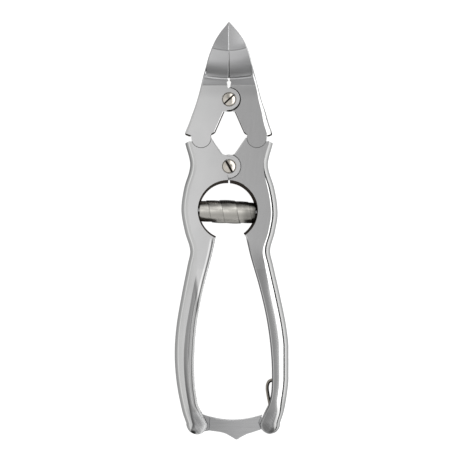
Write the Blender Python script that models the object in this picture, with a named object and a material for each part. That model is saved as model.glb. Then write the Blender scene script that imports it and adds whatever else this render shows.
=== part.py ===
"""Double-action nail nipper, closed and locked, lying on its back.

Sizes are in metres. The origin is on the handle pivot's axis in the flat back face,
+Y points to the cutting tip, +X to the right, and +Z out of the front face.
"""
import math

import bmesh
import bpy

MM = 0.001

# Overall layout
PLATE = 8.4 * MM              # thickness of jaws and handles at the joints
GAP = 0.3 * MM                # running clearance between neighbours
MIDDLE = PLATE / 2
BACK_LAP_TOP = MIDDLE - GAP / 2
FRONT_LAP_BASE = MIDDLE + GAP / 2
THROUGH = 2 * MM              # how far a cutter runs past a face
JAW_PIVOT_Y = 24.8 * MM
KNUCKLE_X = 10.3 * MM
KNUCKLE_Y = 10.6 * MM
JAW_BOSS_R = 4.07 * MM
HANDLE_BOSS_R = 4.33 * MM
TONGUE_R = 3.7 * MM
ROUND_STEPS = 40              # sides of a boss or tongue
SMALL_STEPS = 24              # sides of a pin or screw

# Jaws
BACK_RELIEF = 1.3 * MM        # how far each blade's back leans away from the centre line
SCOOP_START_Y = 33.0 * MM
SCOOP_FLOOR_Y = 34.6 * MM
SCOOP_FLOOR_Z = 5.5 * MM
SCOOP_RADIUS = 22.0 * MM
FACET_Y = 42.9 * MM
FACET_Z = 7.12 * MM
FACET_FALL = 0.26             # facet slope towards the tip
FACET_DISH = 0.117            # facet slope towards the centre line
BACK_TAPER_Y = 36.0 * MM
BACK_TAPER = 0.09             # rise of the blade's back towards the tip
JAW_OUTER = (                 # (y, half width) of both jaws together, tail to tip
    (11.3, 16.3), (12.6, 16.2), (15.0, 15.35), (19.0, 14.05), (24.6, 12.0), (32.0, 10.0),
    (38.0, 8.3), (42.3, 7.15), (46.7, 5.3), (50.0, 3.2), (52.4, 1.25), (53.65, 0.25),
)
JAW_INNER = (                 # (y, distance of the inner edge from the centre line)
    (11.3, 6.75), (11.85, 6.45), (12.4, 5.3), (12.7, 4.95), (20.3, 1.75), (20.9, 0.15),
    (30.0, 0.15), (33.0, 0.3), (41.0, 0.15), (53.65, 0.15),
)
JAW_SHOULDER = (              # (x, y) of the cut under a jaw's tail, outside its knuckle
    (17.5, 12.5), (16.3, 12.15), (14.05, 11.35), (14.0, 10.0), (17.5, 10.0),
)
RELIEF_R = 0.83 * MM          # relief hole between the jaws, above the boss
RELIEF_Y = 31.25 * MM
RELIEF_LENGTH = 1.7 * MM      # the hole runs this far down towards the boss

# Handles
OPENING_R = 11.1 * MM         # round opening for the spring, at the front face
OPENING_DRAFT = 0.8 * MM      # how much narrower the opening is at the back
OPENING_X = -0.3 * MM
OPENING_Y = -16.5 * MM
LEAN = 0.006                  # the handles drift to the right towards the lock
BOW = 0.105                   # and bow that way, per metre
HANDLE_OUTER = (              # (y, distance of the outer edge from the handles' centre line)
    (10.6, 16.35), (8.4, 16.25), (3.8, 14.95), (0.85, 14.45), (-2.1, 14.9), (-8.0, 16.75),
    (-16.2, 17.85), (-24.3, 16.6), (-31.1, 14.75), (-36.2, 15.7), (-48.0, 18.2), (-59.8, 20.35),
    (-70.2, 21.15), (-80.5, 20.6), (-90.9, 18.8), (-95.4, 17.4),
)
HANDLE_HEAD_INNER = (         # inner edge of the head, down to the cusp under the opening
    (10.6, 6.4), (4.5, 2.2), (3.9, 0.15), (-16.5, 0.15), (-26.3, 5.6),
)
HANDLE_GRIP_INNER = (         # inner edge of the grip
    (-26.3, 5.6), (-33.2, 7.1), (-45.0, 10.3), (-56.9, 12.8), (-68.7, 14.1), (-80.5, 14.25),
    (-88.0, 13.2), (-91.6, 11.7), (-95.4, 10.0),
)
HANDLE_SHOULDER = (           # (x, y) of the cut over a handle's head, outside its knuckle
    (18.0, 8.2), (16.3, 8.6), (14.65, 9.35), (13.9, 9.2), (13.4, 12.0), (18.0, 12.0),
)
CUSP_Y = -26.3 * MM
GRIP_START_Y = -30.0 * MM     # the flat front begins to round over
GRIP_FULL_Y = -52.0 * MM      # the grip is fully round
SHOULDER_ROUND = 3.1 * MM     # width of the rounded band along the outer edge
SHOULDER_ELLIPSE = 4.6 * MM   # the band is part of an ellipse this wide
INNER_CHAMFER = 0.25 * MM
GRIP_INNER_ROUND = 3.7 * MM
KNOB_X = 13.7 * MM
KNOB_Y = -95.4 * MM
KNOB_R = 3.75 * MM
HANDLE_ROW_STEP = 3.0 * MM

# Lock
SLOT_LOW = 2.7 * MM           # the fork's slot, from the back face
SLOT_HIGH = 5.7 * MM
TONGUE_LOW = SLOT_LOW + GAP
TONGUE_HIGH = SLOT_HIGH - GAP
BAR_LOW = 2.0 * MM
BAR_HIGH = 6.4 * MM
HEEL_R = 2.4 * MM             # round heel of the bar at its hinge
BAR_SHOULDER_R = 4.3 * MM     # the thick part of the bar stops this far from the knob's centre
BAR_TOP_SAG = 2.2 * MM
BAR_TOP_Y = -91.9 * MM
BAR_LOW_Y = -97.7 * MM
BAR_POINT_Y = -101.3 * MM
BAR_POINT = (                 # (x, y) of the V under the bar, from the lowest point
    (6.0, 3.0), (1.3, 0.2), (0.7, 0.0), (0.0, 0.3), (-4.2, 2.8),
)
CATCH_R = 0.8 * MM
CATCH_DROP = 0.35 * MM        # clearance between the pin and the hook's lip before it is drawn in
HOOK_THROAT = 1.1 * MM        # pin's axis to the inside of the lip
HOOK_LIP = 1.1 * MM           # thickness of the lip
HOOK_FLOOR = 2.35 * MM        # depth of the hook's floor under the pin's axis
HOOK_BASE = 3.15 * MM
TONGUE_OVERLAP = 2 * MM       # how far a tongue runs into the thick part of the bar
LOCK_PIN_SKIN = 1.2 * MM      # metal left over the lock's pins at the front
LOCK_PIN_LOW = 0.4 * MM
FORK_MOUTH = (                # (outwards, up) from the knob's centre, round the slot's open side
    (-0.5, 4.2), (-8.0, 6.5), (-8.0, -8.0),
)
HINGE_R = 1.0 * MM

# Screws, pins and springs
SCREW_HEAD_R = 2.42 * MM
SCREW_HEAD_PROUD = 0.35 * MM
SCREW_HEAD_DEEP = 1.0 * MM
SCREW_SHANK_R = 1.5 * MM
SCREW_SLOT = 0.75 * MM
SCREW_SLOT_DEEP = 0.8 * MM
KNUCKLE_PIN_R = 1.25 * MM
KNUCKLE_SKIN = 1.2 * MM       # metal left over the pin at the front
PEG_R = 1.1 * MM
PEG_REACH = 2.4 * MM          # length of a peg inside the spring
PEG_ROOT = 2.6 * MM           # length of a peg inside its handle
SPRING_HALF = 10.1 * MM
SPRING_BORE_R = 1.7 * MM
SPRING_TILT = math.radians(-2.0)
SPRING_STEPS = (              # (distance from the middle, radius) along one half of the barrel
    (0.0, 4.1), (2.4, 4.1), (2.4, 3.85), (5.2, 3.85),
    (5.2, 3.5), (7.8, 3.5), (7.8, 3.05), (10.1, 3.05),
)
LEAF_THICK = 1.2 * MM
LEAF_PATH = (                 # (x, y) of the lock spring's middle line, seen from the front
    (17.35, -76.8), (17.1, -78.3), (16.2, -79.2), (15.0, -79.75), (14.35, -80.9), (14.2, -82.4),
    (14.4, -84.2), (14.8, -86.4), (15.15, -88.2), (15.2, -89.8), (14.7, -92.3),
)
GROOVE_DEEP = 2.6 * MM


def material(name, colour, roughness, metallic=1.0):
    """A Principled BSDF material."""
    made = bpy.data.materials.new(name)
    made.use_nodes = True
    shader = made.node_tree.nodes["Principled BSDF"]
    shader.inputs["Base Color"].default_value = (*colour, 1.0)
    shader.inputs["Roughness"].default_value = roughness
    shader.inputs["Metallic"].default_value = metallic
    return made


def smooth_curve(points, y):
    """Half width at y on the smooth curve through (y, width) points given in millimetres."""
    knots = [(a * MM, b * MM) for a, b in points]
    rising = knots[0][0] < knots[-1][0]
    knots = knots if rising else knots[::-1]
    y = min(max(y, knots[0][0]), knots[-1][0])
    i = next(k for k in range(len(knots) - 1) if y <= knots[k + 1][0] + 1e-12)
    slopes = [knot_slope(knots, k) for k in (i, i + 1)]
    span = knots[i + 1][0] - knots[i][0]
    t = (y - knots[i][0]) / span
    return ((2 * t**3 - 3 * t**2 + 1) * knots[i][1] + (t**3 - 2 * t**2 + t) * span * slopes[0]
            + (3 * t**2 - 2 * t**3) * knots[i + 1][1] + (t**3 - t**2) * span * slopes[1])


def knot_slope(knots, k):
    """Slope of the smooth curve at one of its points."""
    low = knots[max(k - 1, 0)]
    high = knots[min(k + 1, len(knots) - 1)]
    return (high[1] - low[1]) / (high[0] - low[0])


def straight_curve(points, y):
    """Width at y on straight lines through (y, width) points given in millimetres."""
    knots = sorted((a * MM, b * MM) for a, b in points)
    y = min(max(y, knots[0][0]), knots[-1][0])
    i = next(k for k in range(len(knots) - 1) if y <= knots[k + 1][0] + 1e-12)
    t = (y - knots[i][0]) / (knots[i + 1][0] - knots[i][0])
    return knots[i][1] + t * (knots[i + 1][1] - knots[i][1])


def blend(y, start, end):
    """0 at start, 1 at end, with a smooth change between them."""
    t = min(max((y - start) / (end - start), 0.0), 1.0)
    return t * t * (3 - 2 * t)


def drift(y):
    """Sideways place of the handles' centre line at y."""
    down = max(-y, 0.0)
    return LEAN * down + BOW * down * down


def new_object(name, mesh, mat):
    """Put a mesh in the scene under a name, with one material."""
    made = bpy.data.objects.new(name, mesh)
    bpy.context.scene.collection.objects.link(made)
    mesh.materials.append(mat)
    return made


def finish_mesh(name, bm):
    """Turn a bmesh into a mesh whose faces point outwards."""
    bmesh.ops.recalc_face_normals(bm, faces=bm.faces)
    mesh = bpy.data.meshes.new(name)
    bm.to_mesh(mesh)
    bm.free()
    return mesh


def loft(name, rings, mat):
    """A closed body through rings that all have the same number of points."""
    bm = bmesh.new()
    loops = [[bm.verts.new(point) for point in ring] for ring in rings]
    count = len(rings[0])
    for lower, upper in zip(loops, loops[1:]):
        for k in range(count):
            n = (k + 1) % count
            bm.faces.new((lower[k], lower[n], upper[n], upper[k]))
    bm.faces.new(loops[0])
    bm.faces.new(loops[-1])
    return new_object(name, finish_mesh(name, bm), mat)


def prism(name, outline, low, high, mat):
    """A flat outline given a thickness between two heights."""
    rings = [[(x, y, z) for x, y in outline] for z in (low, high)]
    return loft(name, rings, mat)


def circle(x, y, radius, steps=SMALL_STEPS, start=0.0, turn=2 * math.pi):
    """Points round a circle, or round part of one."""
    count = steps if turn > 6.28 else steps + 1
    angles = [start + turn * k / steps for k in range(count)]
    return [(x + radius * math.cos(a), y + radius * math.sin(a)) for a in angles]


def disc(name, x, y, radius, low, high, mat, steps=SMALL_STEPS):
    """An upright cylinder."""
    return prism(name, circle(x, y, radius, steps), low, high, mat)


def turned(name, profile, mat, steps=SMALL_STEPS):
    """A body turned about X from (x, radius) points; both ends are flat."""
    angles = [2 * math.pi * k / steps for k in range(steps)]
    rings = [[(x, r * math.cos(a), r * math.sin(a)) for a in angles] for x, r in profile]
    return loft(name, rings, mat)


def combine(target, tool, operation):
    """Cut a tool out of a target, or join it to the target, and remove the tool."""
    step = target.modifiers.new(operation, "BOOLEAN")
    step.operation = operation
    step.solver = "EXACT"
    step.object = tool
    bpy.context.view_layer.update()
    evaluated = target.evaluated_get(bpy.context.evaluated_depsgraph_get())
    result = bpy.data.meshes.new_from_object(evaluated)
    target.modifiers.clear()
    target.data = result
    bpy.data.objects.remove(tool)


def cut(target, tool):
    """Cut a tool out of a target."""
    combine(target, tool, "DIFFERENCE")


def join(target, tool):
    """Join a tool to a target."""
    combine(target, tool, "UNION")


def drill(target, x, y, radius, low, high, steps=SMALL_STEPS):
    """Cut an upright round hole."""
    cut(target, disc("drill", x, y, radius, low, high, target.data.materials[0], steps))


def round_shading(target, angle=30):
    """Shade round faces smooth and keep edges crisp."""
    target.data.shade_smooth()
    target.data.set_sharp_from_angle(angle=math.radians(angle))


def set_origin(target, x, y):
    """Move an object's origin to an upright axis without moving its shape."""
    for vertex in target.data.vertices:
        vertex.co.x -= x
        vertex.co.y -= y
    target.location = (x, y, 0.0)


# ---------------------------------------------------------------- jaws

def jaw_front(x, y):
    """Height of a jaw's front face: flat, then the hollow-ground scoop, then the tip facet."""
    if y <= SCOOP_START_Y:
        return PLATE
    run = y - SCOOP_FLOOR_Y
    scoop = SCOOP_FLOOR_Z + SCOOP_RADIUS - math.sqrt(SCOOP_RADIUS**2 - min(run, 12 * MM) ** 2)
    facet = FACET_Z - FACET_FALL * (y - FACET_Y) + FACET_DISH * x
    return min(PLATE, scoop, facet)


def jaw_ring(y, side):
    """Cross-section of a jaw at y, as points round it."""
    inner = straight_curve(JAW_INNER, y)
    outer = max(smooth_curve(JAW_OUTER, y), inner + 0.1 * MM)
    width = outer - inner
    bevel = min(0.4 * MM + 1.6 * MM * blend(y, SCOOP_START_Y, 12 * MM), 0.35 * width)
    back = BACK_TAPER * max(y - BACK_TAPER_Y, 0.0)
    lean = min(BACK_RELIEF * blend(y, SCOOP_START_Y - MM, SCOOP_START_Y + 3 * MM), 0.4 * width)
    face = [inner + (width - bevel) * t for t in (0.0, 0.33, 0.67, 1.0)]
    ring = [(x, jaw_front(x, y)) for x in face]
    edge = ring[-1][1]
    ring += [(outer - 0.3 * bevel, edge - 0.3 * bevel), (outer, edge - bevel)]
    ring += [(outer, back + 0.5 * bevel), (outer - 0.5 * bevel, back), (inner + lean, back)]
    return [(side * x, y, z) for x, z in ring]


def jaw_rows():
    """Places of a jaw's cross-sections, from its tail to its tip."""
    tail = [11.3, 11.85, 12.4, 12.7, 14.0, 16.0, 18.0, 20.3, 20.9, 24.6, 28.0, 32.0]
    scoop = [32.99, 33.01, 34.6, 36.5, 38.5, 40.5, 42.0, 42.9, 43.4, 44.0]
    tip = [45.5, 47.0, 48.5, 50.0, 51.3, 52.4, 53.1, 53.65]
    return [y * MM for y in tail + scoop + tip]


def jaw(name, side, mat):
    """One jaw. The left one keeps the front half of the lap joint, the right one the back half."""
    body = loft(name, [jaw_ring(y, side) for y in jaw_rows()], mat)
    x = side * KNUCKLE_X
    cut(body, shoulder_cutter(JAW_SHOULDER, side, mat))
    join(body, disc("tongue", x, KNUCKLE_Y, TONGUE_R, 0.0, PLATE, mat, ROUND_STEPS))
    drill(body, x, KNUCKLE_Y, TONGUE_R + GAP, -THROUGH, FRONT_LAP_BASE, ROUND_STEPS)
    drill(body, x, KNUCKLE_Y, KNUCKLE_PIN_R + GAP, -THROUGH, PLATE - KNUCKLE_SKIN)
    join(body, disc("boss", 0.0, JAW_PIVOT_Y, JAW_BOSS_R, 0.0, PLATE, mat, ROUND_STEPS))
    lap_joint(body, side, JAW_PIVOT_Y, JAW_BOSS_R)
    cut(body, relief_cutter(mat))
    return body


def shoulder_cutter(outline, side, mat):
    """Cutter that shapes the outer shoulder beside a knuckle, from (x, y) points in millimetres."""
    points = [(side * x * MM, y * MM) for x, y in outline]
    return prism("shoulder", points, -THROUGH, PLATE + THROUGH, mat)


def relief_cutter(mat):
    """Long relief hole between the jaws, round at its top."""
    outline = circle(0.0, RELIEF_Y, RELIEF_R, 12, turn=math.pi)
    outline += [(side * 0.7 * RELIEF_R, RELIEF_Y - RELIEF_LENGTH) for side in (-1, 1)]
    return prism("relief", outline, -THROUGH, PLATE + THROUGH, mat)


def lap_joint(body, side, y, radius):
    """Remove the other plate's half of a lap joint and drill the pivot screw's hole."""
    if side < 0:
        drill(body, 0.0, y, radius + GAP, -THROUGH, FRONT_LAP_BASE, ROUND_STEPS)
        drill(body, 0.0, y, SCREW_HEAD_R + GAP, PLATE - SCREW_HEAD_DEEP - GAP, PLATE + THROUGH)
    else:
        drill(body, 0.0, y, radius + GAP, BACK_LAP_TOP, PLATE + THROUGH, ROUND_STEPS)
    drill(body, 0.0, y, SCREW_SHANK_R + GAP, -THROUGH, PLATE + THROUGH)


# ---------------------------------------------------------------- handles

def handle_inner(y):
    """Distance of a handle's inner edge from the centre line."""
    if y >= CUSP_Y:
        return straight_curve(HANDLE_HEAD_INNER, y)
    if y >= KNOB_Y:
        return smooth_curve(HANDLE_GRIP_INNER, y)
    return KNOB_X - math.sqrt(KNOB_R**2 - (KNOB_Y - y) ** 2)


def handle_outer(y):
    """Distance of a handle's outer edge from the centre line."""
    if y >= KNOB_Y:
        return smooth_curve(HANDLE_OUTER, y)
    return KNOB_X + math.sqrt(KNOB_R**2 - (KNOB_Y - y) ** 2)


def handle_half_ring(y):
    """Front half of a handle's cross-section at y: (x, height over the middle), outer to inner."""
    inner, outer = handle_inner(y), handle_outer(y)
    width = outer - inner
    grip = blend(y, GRIP_START_Y, GRIP_FULL_Y)
    end = min(max((KNOB_Y - y) / KNOB_R, 0.0), 1.0)
    half = MIDDLE * (1 - end**4) ** 0.25
    band = min(SHOULDER_ROUND, 0.45 * width)
    rim = min(INNER_CHAMFER + (GRIP_INNER_ROUND - INNER_CHAMFER) * grip, 0.52 * width)
    top_angle = math.acos(1 - SHOULDER_ROUND / SHOULDER_ELLIPSE)
    points = []
    for k in range(5):
        a = top_angle * k / 4
        reach = band * (1 - math.cos(a)) / (1 - math.cos(top_angle))
        points.append((outer - reach, half * math.sin(a) / math.sin(top_angle)))
    drop = min(rim, half) * (1 - grip) + 0.96 * half * grip
    for k in range(5):
        a = math.pi / 2 * k / 4
        points.append((inner + rim * (1 - math.sin(a)), half - drop * (1 - math.cos(a))))
    return points + [(inner, 0.0)]


def handle_ring(y, side):
    """Cross-section of a handle at y, as points round it."""
    front = handle_half_ring(y)
    ring = [(x, MIDDLE + z) for x, z in front[:-1]]
    ring += [(x, MIDDLE - z) for x, z in front[-2:0:-1]]
    return [(side * x + drift(y), y, z) for x, z in ring]


def handle_rows():
    """Places of a handle's cross-sections, from its top to the end of its knob."""
    head = [10.6, 8.4, 6.4, 4.5, 3.9, 2.4, 0.85, -0.7, -2.1, -5.0, -8.0, -10.7]
    head += [-13.5, -16.2, -18.9, -21.6, -24.3, -26.3, -28.0, -29.5, -31.1, -32.7, -34.5, -36.2]
    rows = [y * MM for y in head]
    while rows[-1] > -88 * MM:
        rows.append(rows[-1] - HANDLE_ROW_STEP)
    rows += [-90.5 * MM, -92.2 * MM, -93.8 * MM]
    rows += [KNOB_Y - KNOB_R * math.sin(math.radians(a)) for a in (0, 16, 32, 48, 62, 75, 84)]
    return rows


def handle(name, side, mat):
    """One handle with its lap joint, knuckle, spring opening and forked end."""
    body = loft(name, [handle_ring(y, side) for y in handle_rows()], mat)
    cut(body, shoulder_cutter(HANDLE_SHOULDER, side, mat))
    cut(body, opening_cutter(mat))
    x = side * KNUCKLE_X
    join(body, disc("knuckle", x, KNUCKLE_Y, TONGUE_R, 0.0, PLATE, mat, ROUND_STEPS))
    drill(body, x, KNUCKLE_Y, TONGUE_R + GAP, BACK_LAP_TOP, PLATE + THROUGH, ROUND_STEPS)
    drill(body, x, KNUCKLE_Y, KNUCKLE_PIN_R + GAP, -THROUGH, PLATE + THROUGH)
    join(body, disc("boss", 0.0, 0.0, HANDLE_BOSS_R, 0.0, PLATE, mat, ROUND_STEPS))
    lap_joint(body, side, 0.0, HANDLE_BOSS_R)
    cut(body, peg_hole(side, mat))
    return body


def opening_cutter(mat):
    """The tapered round hole that the two handles share."""
    slope = OPENING_DRAFT / PLATE
    rings = []
    for z in (-THROUGH, PLATE + THROUGH):
        radius = OPENING_R - slope * (PLATE - z)
        rings.append([(x, y, z) for x, y in circle(OPENING_X, OPENING_Y, radius, 64)])
    return loft("opening", rings, mat)


def place_on_spring_axis(made):
    """Lay a body turned about X along the spring's axis."""
    made.rotation_euler = (0.0, 0.0, SPRING_TILT)
    made.location = (OPENING_X, OPENING_Y, MIDDLE)


def peg_hole(side, mat):
    """Cutter for a peg's hole in the wall of the opening."""
    ends = sorted((side * (OPENING_R - 2 * MM), side * (OPENING_R + PEG_ROOT + GAP)))
    hole = turned("peg_hole", [(ends[0], PEG_R + GAP), (ends[1], PEG_R + GAP)], mat)
    place_on_spring_axis(hole)
    return hole


def knob_centre(side):
    """Centre of a handle's round end."""
    return side * KNOB_X + drift(KNOB_Y), KNOB_Y


def fork_cutter(side, radius, mat):
    """Slot in a handle's round end, open towards the other handle and at the bottom."""
    x, y = knob_centre(side)
    low, high = math.radians(-23), math.radians(110)
    arc = [(radius * math.cos(a), radius * math.sin(a))
           for a in (low + (high - low) * k / 12 for k in range(13))]
    mouth = [(along * MM, up * MM) for along, up in FORK_MOUTH] + [(0.9 * radius, -8 * MM)]
    outline = [(x + side * along, y + up) for along, up in arc + mouth]
    return prism("fork", outline, SLOT_LOW, SLOT_HIGH, mat)


# ---------------------------------------------------------------- fasteners and springs

def pivot_screw(name, y, slot_angle, mat):
    """Slotted screw with a shallow domed head, flush with the back face."""
    top = PLATE + SCREW_HEAD_PROUD
    under = PLATE - SCREW_HEAD_DEEP
    profile = [(0.0, SCREW_SHANK_R), (under, SCREW_SHANK_R), (under, SCREW_HEAD_R)]
    profile += [(PLATE, SCREW_HEAD_R), (top - 0.1 * MM, 0.8 * SCREW_HEAD_R), (top, 0.4 * SCREW_HEAD_R)]
    rings = [[(px, py, z) for px, py in circle(0, 0, r, 32)] for z, r in profile]
    body = loft(name, rings, mat)
    half = SCREW_SLOT / 2
    reach = SCREW_HEAD_R + MM
    slot = prism("slot", [(-reach, -half), (reach, -half), (reach, half), (-reach, half)],
                 top - SCREW_SLOT_DEEP, top + THROUGH, mat)
    slot.rotation_euler.z = slot_angle
    cut(body, slot)
    body.location = (0.0, y, 0.0)
    round_shading(body)
    return body


def pin(name, x, y, radius, low, high, mat):
    """Plain round pin with broken edges."""
    edge = 0.15 * MM
    profile = [(low, radius - edge), (low + edge, radius), (high - edge, radius), (high, radius - edge)]
    rings = [[(px, py, z) for px, py in circle(0, 0, r)] for z, r in profile]
    body = loft(name, rings, mat)
    body.location = (x, y, 0.0)
    round_shading(body)
    return body


def spring_peg(name, side, mat):
    """Peg in a handle that reaches into one end of the barrel spring."""
    ends = sorted((side * (SPRING_HALF - PEG_REACH), side * (OPENING_R + PEG_ROOT)))
    body = turned(name, [(ends[0], PEG_R), (ends[1], PEG_R)], mat, 16)
    place_on_spring_axis(body)
    round_shading(body)
    return body


def barrel_spring(name, mat):
    """Stepped barrel with a bore, the envelope of the rolled strip."""
    right = [(a * MM, r * MM) for a, r in SPRING_STEPS]
    outside = [(-a, r) for a, r in reversed(right)] + right[1:]
    inside = [(outside[-1][0], SPRING_BORE_R), (outside[0][0], SPRING_BORE_R)]
    profile = outside + inside
    angles = [2 * math.pi * k / 32 for k in range(32)]
    bm = bmesh.new()
    rings = [[bm.verts.new((x, r * math.cos(a), r * math.sin(a))) for a in angles] for x, r in profile]
    for first, second in zip(rings, rings[1:] + rings[:1]):
        for k in range(32):
            n = (k + 1) % 32
            bm.faces.new((first[k], first[n], second[n], second[k]))
    body = new_object(name, finish_mesh(name, bm), mat)
    place_on_spring_axis(body)
    round_shading(body)
    return body


# ---------------------------------------------------------------- lock

def bar_top(x):
    """Height of the bar's hollow top edge at x."""
    middle = drift(KNOB_Y)
    return BAR_TOP_Y - BAR_TOP_SAG * (1 - ((x - middle) / (KNOB_X - 2 * MM)) ** 2)


def lock_bar(mat):
    """Bar with thin tongues for both forks, a hook at the left and a round heel at the right."""
    hinge_x, hinge_y = knob_centre(1)
    catch_x, catch_y = knob_centre(-1)
    left, right = catch_x + BAR_SHOULDER_R, hinge_x - BAR_SHOULDER_R
    body = prism("lock_bar", thick_outline(left, right), BAR_LOW, BAR_HIGH, mat)
    hook = hook_outline(catch_x, catch_y, left + TONGUE_OVERLAP)
    join(body, prism("hook", hook, TONGUE_LOW, TONGUE_HIGH, mat))
    heel = heel_outline(hinge_x, hinge_y, right - TONGUE_OVERLAP)
    join(body, prism("heel", heel, TONGUE_LOW, TONGUE_HIGH, mat))
    drill(body, hinge_x, hinge_y, HINGE_R + GAP, -THROUGH, PLATE + THROUGH)
    set_origin(body, hinge_x, hinge_y)
    return body


def thick_outline(left, right):
    """Outline of the bar's thick middle."""
    middle = drift(KNOB_Y)
    steps = 12
    top = [left + (right - left) * k / steps for k in range(steps + 1)]
    outline = [(x, bar_top(x)) for x in top]
    outline += [(right, BAR_LOW_Y)]
    outline += [(middle + x * MM, BAR_POINT_Y + y * MM) for x, y in BAR_POINT]
    return outline + [(left, BAR_LOW_Y)]


def hook_outline(x, y, root):
    """Outline of the hook: a lip that comes up on the far side of the catch pin."""
    neck = x + 2.4 * MM
    top = [(px, bar_top(px)) for px in (root, (root + neck) / 2, neck)]
    inside = -HOOK_THROAT
    outside = -HOOK_THROAT - HOOK_LIP
    lip = -CATCH_R - CATCH_DROP
    hook = [(1.9 * MM, 1.4 * MM), (1.3 * MM, 1.0 * MM), (1.3 * MM, -HOOK_FLOOR), (inside, -HOOK_FLOOR),
            (inside, lip), (inside - 0.5 * MM, lip), (outside, lip - 0.5 * MM),
            (outside, 0.3 * MM - HOOK_BASE), (outside + 0.7 * MM, -HOOK_BASE), (1.6 * MM, -HOOK_BASE)]
    return top + [(x + px, y + py) for px, py in hook] + [(root, BAR_LOW_Y + 0.3 * MM)]


def heel_outline(x, y, root):
    """Outline of the round heel and the tongue that joins it to the bar."""
    outline = circle(x, y, HEEL_R, 16, start=math.radians(-105), turn=math.radians(215))
    return outline + [(root, bar_top(root) - 0.3 * MM), (root, BAR_LOW_Y + 0.3 * MM)]


def leaf_spring(name, mat):
    """Bent strip that bows out of the right handle and bears on the bar's heel."""
    path = resample(LEAF_PATH, 3)
    rings = []
    for k, (x, y) in enumerate(path):
        before, after = path[max(k - 1, 0)], path[min(k + 1, len(path) - 1)]
        length = math.hypot(after[0] - before[0], after[1] - before[1])
        nx, ny = -(after[1] - before[1]) / length, (after[0] - before[0]) / length
        dx, dy = nx * LEAF_THICK / 2, ny * LEAF_THICK / 2
        low = [(x + dx, y + dy, TONGUE_LOW), (x - dx, y - dy, TONGUE_LOW)]
        high = [(px, py, TONGUE_HIGH) for px, py, _ in reversed(low)]
        rings.append(low + high)
    return loft(name, rings, mat)


def resample(points, per_span):
    """Points on a smooth curve through the given (x, y) points in millimetres."""
    knots = [(x * MM, y * MM) for x, y in points]
    result = []
    for i in range(len(knots) - 1):
        a, b = knots[max(i - 1, 0)], knots[i]
        c, d = knots[i + 1], knots[min(i + 2, len(knots) - 1)]
        for k in range(per_span):
            t = k / per_span
            result.append(tuple(catmull_rom(a[n], b[n], c[n], d[n], t) for n in (0, 1)))
    return result + [knots[-1]]


def catmull_rom(a, b, c, d, t):
    """One coordinate of a Catmull-Rom curve between b and c."""
    curve = (2 * a - 5 * b + 4 * c - d) * t**2 + (3 * b - a - 3 * c + d) * t**3
    return 0.5 * (2 * b + (c - a) * t + curve)


def leaf_groove(mat):
    """Cutter for the groove in the right handle that houses the lock spring."""
    low, high = KNOB_Y + 1.5 * MM, -75.6 * MM
    rows = [high + (low - high) * k / 10 for k in range(11)]
    inside = [(handle_inner(y) + drift(y) + GROOVE_DEEP, y) for y in rows]
    outside = [(handle_inner(y) + drift(y) - 3 * MM, y) for y in reversed(rows)]
    return prism("groove", inside + outside, SLOT_LOW, SLOT_HIGH, mat)


# ---------------------------------------------------------------- assembly

def clear_scene():
    """Remove whatever the scene holds."""
    for item in list(bpy.data.objects):
        bpy.data.objects.remove(item)


def build_levers(steel):
    """Jaws and handles, each with its origin on the axis it turns about."""
    for name, side in (("left_jaw", -1), ("right_jaw", 1)):
        body = jaw(name, side, steel)
        set_origin(body, *((0.0, JAW_PIVOT_Y) if side < 0 else (KNUCKLE_X, KNUCKLE_Y)))
        round_shading(body)
    for name, side in (("left_handle", -1), ("right_handle", 1)):
        body = handle(name, side, steel)
        x, y = knob_centre(side)
        radius = HEEL_R + GAP if side > 0 else HOOK_THROAT + HOOK_LIP + 2 * GAP
        cut(body, fork_cutter(side, radius, steel))
        pin_radius = HINGE_R if side > 0 else CATCH_R
        drill(body, x, y, pin_radius + GAP, -THROUGH, PLATE - LOCK_PIN_SKIN)
        if side > 0:
            cut(body, leaf_groove(steel))
        round_shading(body)


def build_fasteners(screw_steel, pin_steel):
    """Pivot screws, knuckle pins, spring pegs and lock pins."""
    pivot_screw("jaw_pivot_screw", JAW_PIVOT_Y, math.radians(40), screw_steel)
    pivot_screw("handle_pivot_screw", 0.0, math.radians(-63), screw_steel)
    pin_top = PLATE - KNUCKLE_SKIN - GAP
    for name, side in (("left", -1), ("right", 1)):
        pin(name + "_knuckle_pin", side * KNUCKLE_X, KNUCKLE_Y, KNUCKLE_PIN_R, 0.0, pin_top, pin_steel)
        spring_peg(name + "_spring_peg", side, pin_steel)
    lock_pin_top = PLATE - LOCK_PIN_SKIN - GAP
    pin("lock_hinge_pin", *knob_centre(1), HINGE_R, LOCK_PIN_LOW, lock_pin_top, pin_steel)
    pin("lock_catch_pin", *knob_centre(-1), CATCH_R, LOCK_PIN_LOW, lock_pin_top, pin_steel)


def build():
    """The whole nipper."""
    clear_scene()
    steel = material("steel", (0.62, 0.62, 0.63), 0.28)
    screw_steel = material("screw_steel", (0.58, 0.56, 0.53), 0.22)
    pin_steel = material("pin_steel", (0.55, 0.55, 0.56), 0.35)
    spring_steel = material("spring_steel", (0.52, 0.49, 0.45), 0.3)
    build_levers(steel)
    build_fasteners(screw_steel, pin_steel)
    barrel_spring("barrel_spring", spring_steel)
    round_shading(lock_bar(steel))
    leaf_spring("lock_spring", spring_steel)


build()
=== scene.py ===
"""Looks of a double-action nail nipper, closed and locked, lying on a pale floor.

Sizes are in metres in the row frame: the origin is on the handle pivot's axis in the
flat back face, +Y points to the cutting tip and +Z out of the front face.
"""
import math

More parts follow.
